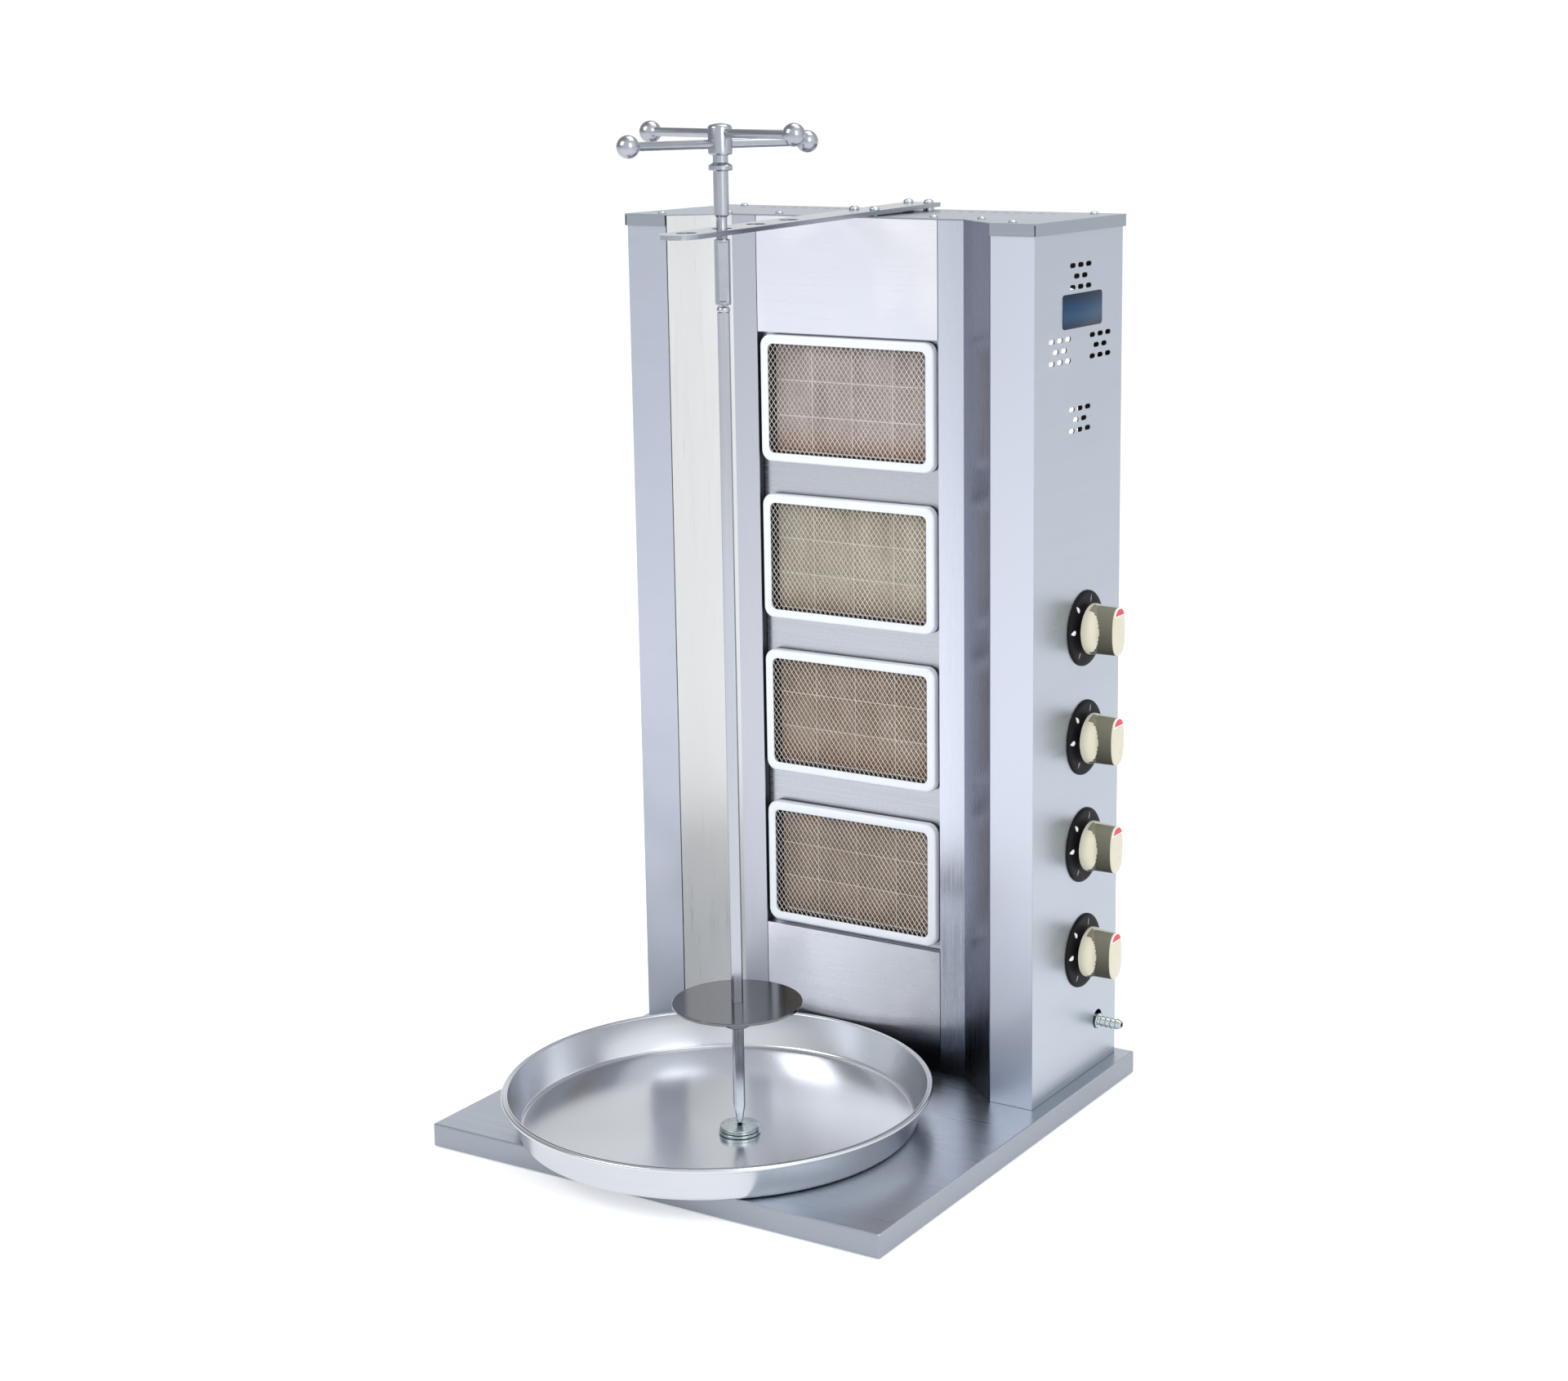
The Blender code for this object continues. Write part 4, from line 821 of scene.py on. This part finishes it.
def make_arm_clamp(name):
    """Two button-head bolts, their spacers and the plate under the cover."""
    low, high, centre = span(name)
    plate_depth, plate_thick, head = 0.0128, 0.0030, 0.0042
    shank, spacer = 0.0029, 0.0060              # radii
    bm = bmesh.new()
    plate = rounded_rectangle(high.x - low.x, plate_depth, 0.002, 4, (centre.x, centre.y))
    top = COVER_LOW.z + COVER_FLANGE - SHEET - 0.0008
    add_loft(bm, [[(x, y, z) for x, y in plate] for z in (top - plate_thick, top)])
    for side in (-0.5, 0.5):
        place = Vector((centre.x + side * BOLT_SPREAD, centre.y, high.z - head))
        turn = Matrix.Translation(place) @ Matrix.Rotation(ARM_TILT, 4, "X")
        add_turned(bm, screw_profile(0.0054, 0.0040), 28, turn)
        foot = low.z - place.z
        add_turned(bm, [(0, 0), (shank, 0), (shank, foot), (0, foot)], 20, turn)
        under_arm, over_cover = -ARM_T, COVER_HIGH.z - place.z
        if under_arm - over_cover > 0.0025:
            start, end = under_arm - CLEAR, over_cover + CLEAR
            ring = [(shank + 0.0001, start), (spacer, start), (spacer, end), (shank + 0.0001, end)]
            add_turned(bm, ring, 28, turn, closed=True)
    piece(f"{name}_bolts", bm, ZINC, "root", [name], 35)


# ---------------------------------------------------------------- pan and pivot
def make_pan():
    """Spun pan: flat floor, sloping wall, and a rim with a roll, a groove and a ridge."""
    base, top = PAN_LOW.z, PAN_HIGH.z
    rim = (PAN_HIGH.x - PAN_LOW.x) / 2 * 0.9999
    foot, bend = 0.2045, 0.0065                 # radius of the floor and of the bend round it
    wall = rim - 0.0065
    outside = [(0, base), (foot - bend - 0.01, base)] + arc((foot - bend, base + bend), bend, -90, -12, 8)
    outside += [(wall + 0.0006, top - 0.0068), (wall + 0.0018, top - 0.0052), (rim - 0.0030, top - 0.0050)]
    roll = arc((rim - 0.0024, top - 0.0026), 0.0024, -80, 110, 12)
    groove = arc((rim - 0.0043, top + 0.0004), 0.0017, -35, -145, 6)
    ridge = arc((wall + 0.0010, top - 0.0016), 0.0013, 60, 185, 8)
    inside = arc((foot - bend, base + bend), bend - SHEET, -12, -90, 8)
    inside += [(foot - bend - 0.012, base + SHEET - 0.0001), (0, base + SHEET - 0.0001)]
    bm = bmesh.new()
    place = Matrix.Translation((PAN_MIDDLE.x, PAN_MIDDLE.y, 0))
    add_turned(bm, outside + roll + groove + ridge + inside, 160, place)
    piece("spun_pan", bm, PAN_METAL, "pan", ["drip_pan"], 50)


def make_pivot():
    """Plated base fixed to the pan, and the cup with a conical seat that turns on it."""
    place = Matrix.Translation((SPIT.x, SPIT.y, 0))
    for node, body, edge in (("pivot_base", "pan", 0.0006), ("pivot_cup", "pivot", 0.0009)):
        low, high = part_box(node)
        radius = (high.x - low.x) / 2
        profile = [(0, low.z), (radius - edge, low.z), (radius, low.z + edge)]
        profile += [(radius, high.z - edge)] + arc((radius - edge, high.z - edge), edge, 20, 90, 4)
        if node == "pivot_cup":
            seat = SPIT_LOW.z - CLEAR
            profile += [(0.0050, high.z), (0.0045, high.z - 0.0005), (0.0040, seat), (0, seat)]
        else:
            profile += [(0, high.z)]
        bm = bmesh.new()
        add_turned(bm, profile, 72, place)
        piece(f"plated_{node}", bm, ZINC, body, [node], 40)


# ---------------------------------------------------------------- spit
def square_ring(half, chamfer, z):
    """A square with its corners cut off, turned to the spit's angle."""
    corners = []
    for quarter in range(4):
        turn = Matrix.Rotation(quarter * pi / 2 + SPIT_TURN, 2)
        for point in ((half, half - chamfer), (half - chamfer, half)):
            spot = turn @ Vector(point)
            corners.append((SPIT.x + spot.x, SPIT.y + spot.y, z))
    return corners


def make_skewer():
    """Square bar with a tapered tip, a forged bead at its shoulder and a square end above it."""
    tip, bar, spigot = 0.0014, 0.0056, 0.0043   # half widths
    chamfer, taper = 0.0017, SPIT_LOW.z + 0.0249
    bead, bead_half, bead_z = 0.0066, 0.0046, SHOULDER_Z + 0.0036
    bm = bmesh.new()
    add_loft(bm, [square_ring(tip, 0.0004, SPIT_LOW.z), square_ring(0.0019, 0.0006, SPIT_LOW.z + 0.0008),
                  square_ring(bar, chamfer, taper), square_ring(bar, chamfer, SHOULDER_Z + 0.001)])
    side = [(bead * cos(radians(a)), bead_z + bead_half * sin(radians(a))) for a in range(-80, 81, 16)]
    profile = [(0, bead_z - bead_half)] + side + [(0, bead_z + bead_half)]
    add_turned(bm, profile, 36, Matrix.Translation((SPIT.x, SPIT.y, 0)))
    add_loft(bm, [square_ring(spigot, 0.0006, z) for z in (SHOULDER_Z + 0.005, SPIT_HIGH.z)])
    piece("square_skewer", bm, BAR_STEEL, "spit", ["skewer"], 30, 0.00025)


def make_disc():
    """Flat disc on a boss, with a square hole for the bar through both."""
    low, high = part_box("meat_disc")
    radius, sheet, boss = (high.x - low.x) / 2, 0.003, 0.014
    steps, hole, hole_corner = 128, 0.0059, 0.0071

    def round_ring(size, z):
        return [(SPIT.x + size * cos(tau * s / steps), SPIT.y + size * sin(tau * s / steps), z)
                for s in range(steps)]

    def hole_ring(z):
        ring = []
        for step in range(steps):
            angle = tau * step / steps
            local = angle - SPIT_TURN
            size = min(hole / max(abs(cos(local)), abs(sin(local))), hole_corner)
            ring.append((SPIT.x + size * cos(angle), SPIT.y + size * sin(angle), z))
        return ring

    under = high.z - sheet
    profile = [(radius - 0.0006, high.z), (radius - 0.0001, high.z - 0.0005),
               (radius - 0.0001, under + 0.0005), (radius - 0.0006, under), (boss, under),
               (boss, low.z + 0.001), (boss - 0.001, low.z)]
    bm = bmesh.new()
    rings = [hole_ring(low.z), hole_ring(high.z)] + [round_ring(size, z) for size, z in profile]
    add_loft(bm, rings, closed=True)
    piece("polished_disc", bm, DISC_STEEL, "disc", ["meat_disc"], 40)


def make_handle():
    """Socket sleeve with wrench flats, neck, shaft, collar and hub, lofted as one."""
    sleeve, flat, neck, shaft, hub = 0.0077, 0.0061, 0.0052, 0.0073, 0.0115
    low, top = HANDLE_LOW.z, HANDLE_HIGH.z
    flats_from, flats_to = low + 0.0036, top - 0.1105
    neck_z, shaft_z, collar_z, hub_z = top - 0.1078, top - 0.0865, top - 0.0442, top - 0.0297
    steps = [(low, sleeve - 0.0007), (low + 0.0008, sleeve), (flats_from - 0.0004, sleeve),
             (flats_from + 0.0004, sleeve), (flats_to - 0.0003, sleeve), (flats_to + 0.0003, sleeve),
             (neck_z - 0.0006, sleeve), (neck_z, sleeve - 0.0006), (neck_z + 0.0002, neck + 0.0003),
             (neck_z + 0.0010, neck), (shaft_z - 0.0007, neck), (shaft_z + 0.0001, neck + 0.0006),
             (shaft_z + 0.0007, shaft - 0.0006), (shaft_z + 0.0015, shaft),
             (collar_z - 0.0002, shaft), (collar_z + 0.0002, shaft + 0.0005),
             (collar_z + 0.0004, hub - 0.0009), (collar_z + 0.0014, hub), (collar_z + 0.0048, hub),
             (collar_z + 0.0060, hub - 0.0012), (collar_z + 0.0074, shaft + 0.0004),
             (collar_z + 0.0078, shaft), (hub_z - 0.0003, shaft), (hub_z + 0.0001, shaft + 0.0010),
             (hub_z + 0.0005, hub - 0.0010), (hub_z + 0.0019, hub),
             (top - 0.0044, hub), (top - 0.0031, hub - 0.0004), (top - 0.0020, hub - 0.0014),
             (top - 0.0012, hub - 0.0034), (top - 0.0004, hub - 0.0070), (top, hub - 0.0105)]
    count = 72
    rings = []
    for z, radius in steps:
        widest = flat if flats_from < z < flats_to else radius
        ring = []
        for step in range(count):
            angle = tau * step / count
            across, along = radius * cos(angle), radius * sin(angle)
            across = max(-widest, min(widest, across))
            spot = Matrix.Rotation(SPIT_TURN, 2) @ Vector((across, along))
            ring.append((SPIT.x + spot.x, SPIT.y + spot.y, z))
        rings.append(ring)
    bm = bmesh.new()
    add_loft(bm, rings)
    piece("handle_stem", bm, SATIN_CHROME, "handle", ["handle_shaft"], 30)
    for number in (1, 2):
        make_bar(number, HANDLE_TURN + pi / 2 * (number - 1))


def make_bar(number, turn):
    """Round rod with a ball at each end."""
    node = f"handle_bar_{number}"
    centre = span(node)[2]
    half, rod, ball = 0.107, 0.00425, 0.01075
    end = arc((0, half), ball, 90, -67, 14)[1:]
    fillet = [(rod + 0.0004, end[-1][1] - 0.0006), (rod, end[-1][1] - 0.0016)]
    side = [(0, half + ball)] + end + fillet
    profile = side + [(radius, -height) for radius, height in reversed(side)]
    bm = bmesh.new()
    place = Matrix.Translation(centre) @ Matrix.Rotation(turn, 4, "Z") @ Matrix.Rotation(pi / 2, 4, "Y")
    add_turned(bm, profile, 40, place)
    piece(f"ball_bar_{number}", bm, SATIN_CHROME, "handle", [node], 50)


# ---------------------------------------------------------------- studio
def make_floor():
    bm = bmesh.new()
    bmesh.ops.create_circle(bm, cap_ends=True, segments=96, radius=40)
    mesh = bpy.data.meshes.new("studio_floor")
    bm.to_mesh(mesh)
    bm.free()
    made = Recipe("pale_floor", (0.86, 0.86, 0.87), 0.7, emission_strength=0.38)
    made.set("Emission Color", (0.98, 0.99, 1.0, 1))
    haze = made.noise(made.where, 0.8, 2.0)
    made.drive("Base Color", made.mixed(made.spread(haze, 0, 1), (0.85, 0.85, 0.86), (0.88, 0.88, 0.89)))
    mesh.materials.append(made.material)
    floor = bpy.data.objects.new("studio_floor", mesh)
    bpy.context.scene.collection.objects.link(floor)


def make_world():
    """White behind the machine and soft white on its right, duller on its left and overhead.

    What the camera sees directly is white all round, so that no view shows a horizon.
    """
    world = bpy.data.worlds.new("studio")
    bpy.context.scene.world = world
    world.use_nodes = True
    tree = world.node_tree
    where = tree.nodes.new("ShaderNodeTexCoord").outputs["Generated"]
    # Direction, where the lobe starts and is full as a cosine, and its strength
    lobes = (((-0.515, 0.857, 0.0), 0.80, 0.94, 0.62), ((0.72, -0.66, 0.20), -0.1, 0.9, 0.62),
             ((0.85, 0.52, 0.1), 0.0, 0.9, 0.35))
    base, backdrop = 0.45, 1.07                 # strength away from the lobes, and as the camera sees it

    def computed(operation, first, second):
        made = tree.nodes.new("ShaderNodeMath")
        made.operation = operation
        tree.links.new(first, made.inputs[0])
        if isinstance(second, float):
            made.inputs[1].default_value = second
        else:
            tree.links.new(second, made.inputs[1])
        return made.outputs[0]

    total = base
    for toward, start, end, strength in lobes:
        dot = tree.nodes.new("ShaderNodeVectorMath")
        dot.operation = "DOT_PRODUCT"
        dot.inputs[1].default_value = Vector(toward).normalized()
        tree.links.new(where, dot.inputs[0])
        ramp = tree.nodes.new("ShaderNodeMapRange")
        ramp.interpolation_type = "SMOOTHSTEP"
        for socket, number in (("From Min", start), ("From Max", end), ("To Min", 0), ("To Max", strength)):
            ramp.inputs[socket].default_value = number
        tree.links.new(dot.outputs["Value"], ramp.inputs["Value"])
        total = computed("ADD", ramp.outputs["Result"], total)
    seen = computed("MULTIPLY", tree.nodes.new("ShaderNodeLightPath").outputs["Is Camera Ray"], backdrop)
    back = tree.nodes["Background"]
    tree.links.new(computed("MAXIMUM", seen, total), back.inputs["Strength"])
    back.inputs["Color"].default_value = (0.97, 0.98, 1.0, 1)


def make_light(name, place, aim, size, watts, colour=(1, 1, 1)):
    light = bpy.data.lights.new(name, "AREA")
    light.shape = "RECTANGLE"
    light.size, light.size_y = size
    light.energy = watts
    light.color = colour
    lamp = bpy.data.objects.new(name, light)
    lamp.location = place
    lamp.rotation_euler = (Vector(aim) - Vector(place)).to_track_quat("-Z", "Y").to_euler()
    bpy.context.scene.collection.objects.link(lamp)


def make_camera():
    """At the photograph's eye point: 31 degrees round to the right and 12 degrees above."""
    data = bpy.data.cameras.new("camera")
    data.sensor_width = 36
    data.lens = 61.09
    data.shift_x, data.shift_y = -0.0628, -0.0445
    camera = bpy.data.objects.new("camera", data)
    yaw, pitch, roll = 0.5417, -0.206, -0.0081
    turn = Matrix.Rotation(yaw, 4, "Z") @ Matrix.Rotation(pi / 2 + pitch, 4, "X")
    turn = turn @ Matrix.Rotation(roll, 4, "Z")
    camera.matrix_world = Matrix.Translation((1.4391, -2.1906, 1.0809)) @ turn
    bpy.context.scene.collection.objects.link(camera)
    bpy.context.scene.camera = camera


finish_nodes()
for burner in FOURS:
    make_burner(burner)
for tap in FOURS:
    make_knob(tap)
    make_bezel(tap)
make_nameplate()
make_hose_tail()
make_cover_screws()
make_arm_clamp("arm_clamp_front")
make_arm_clamp("arm_clamp_rear")
make_pan()
make_pivot()
make_skewer()
make_disc()
make_handle()

make_floor()
make_world()
make_light("key", (-1.6, -2.6, 2.8), (0, 0, 0.5), (1.8, 1.8), 38)
make_light("fill", (2.6, -1.6, 1.9), (0, 0, 0.5), (1.4, 2.2), 20, (0.95, 0.97, 1.0))
make_light("top", (0.2, 0.6, 3.0), (0, 0, 0.6), (2.0, 1.4), 22)
make_camera()
bpy.context.scene.view_settings.view_transform = "Standard"
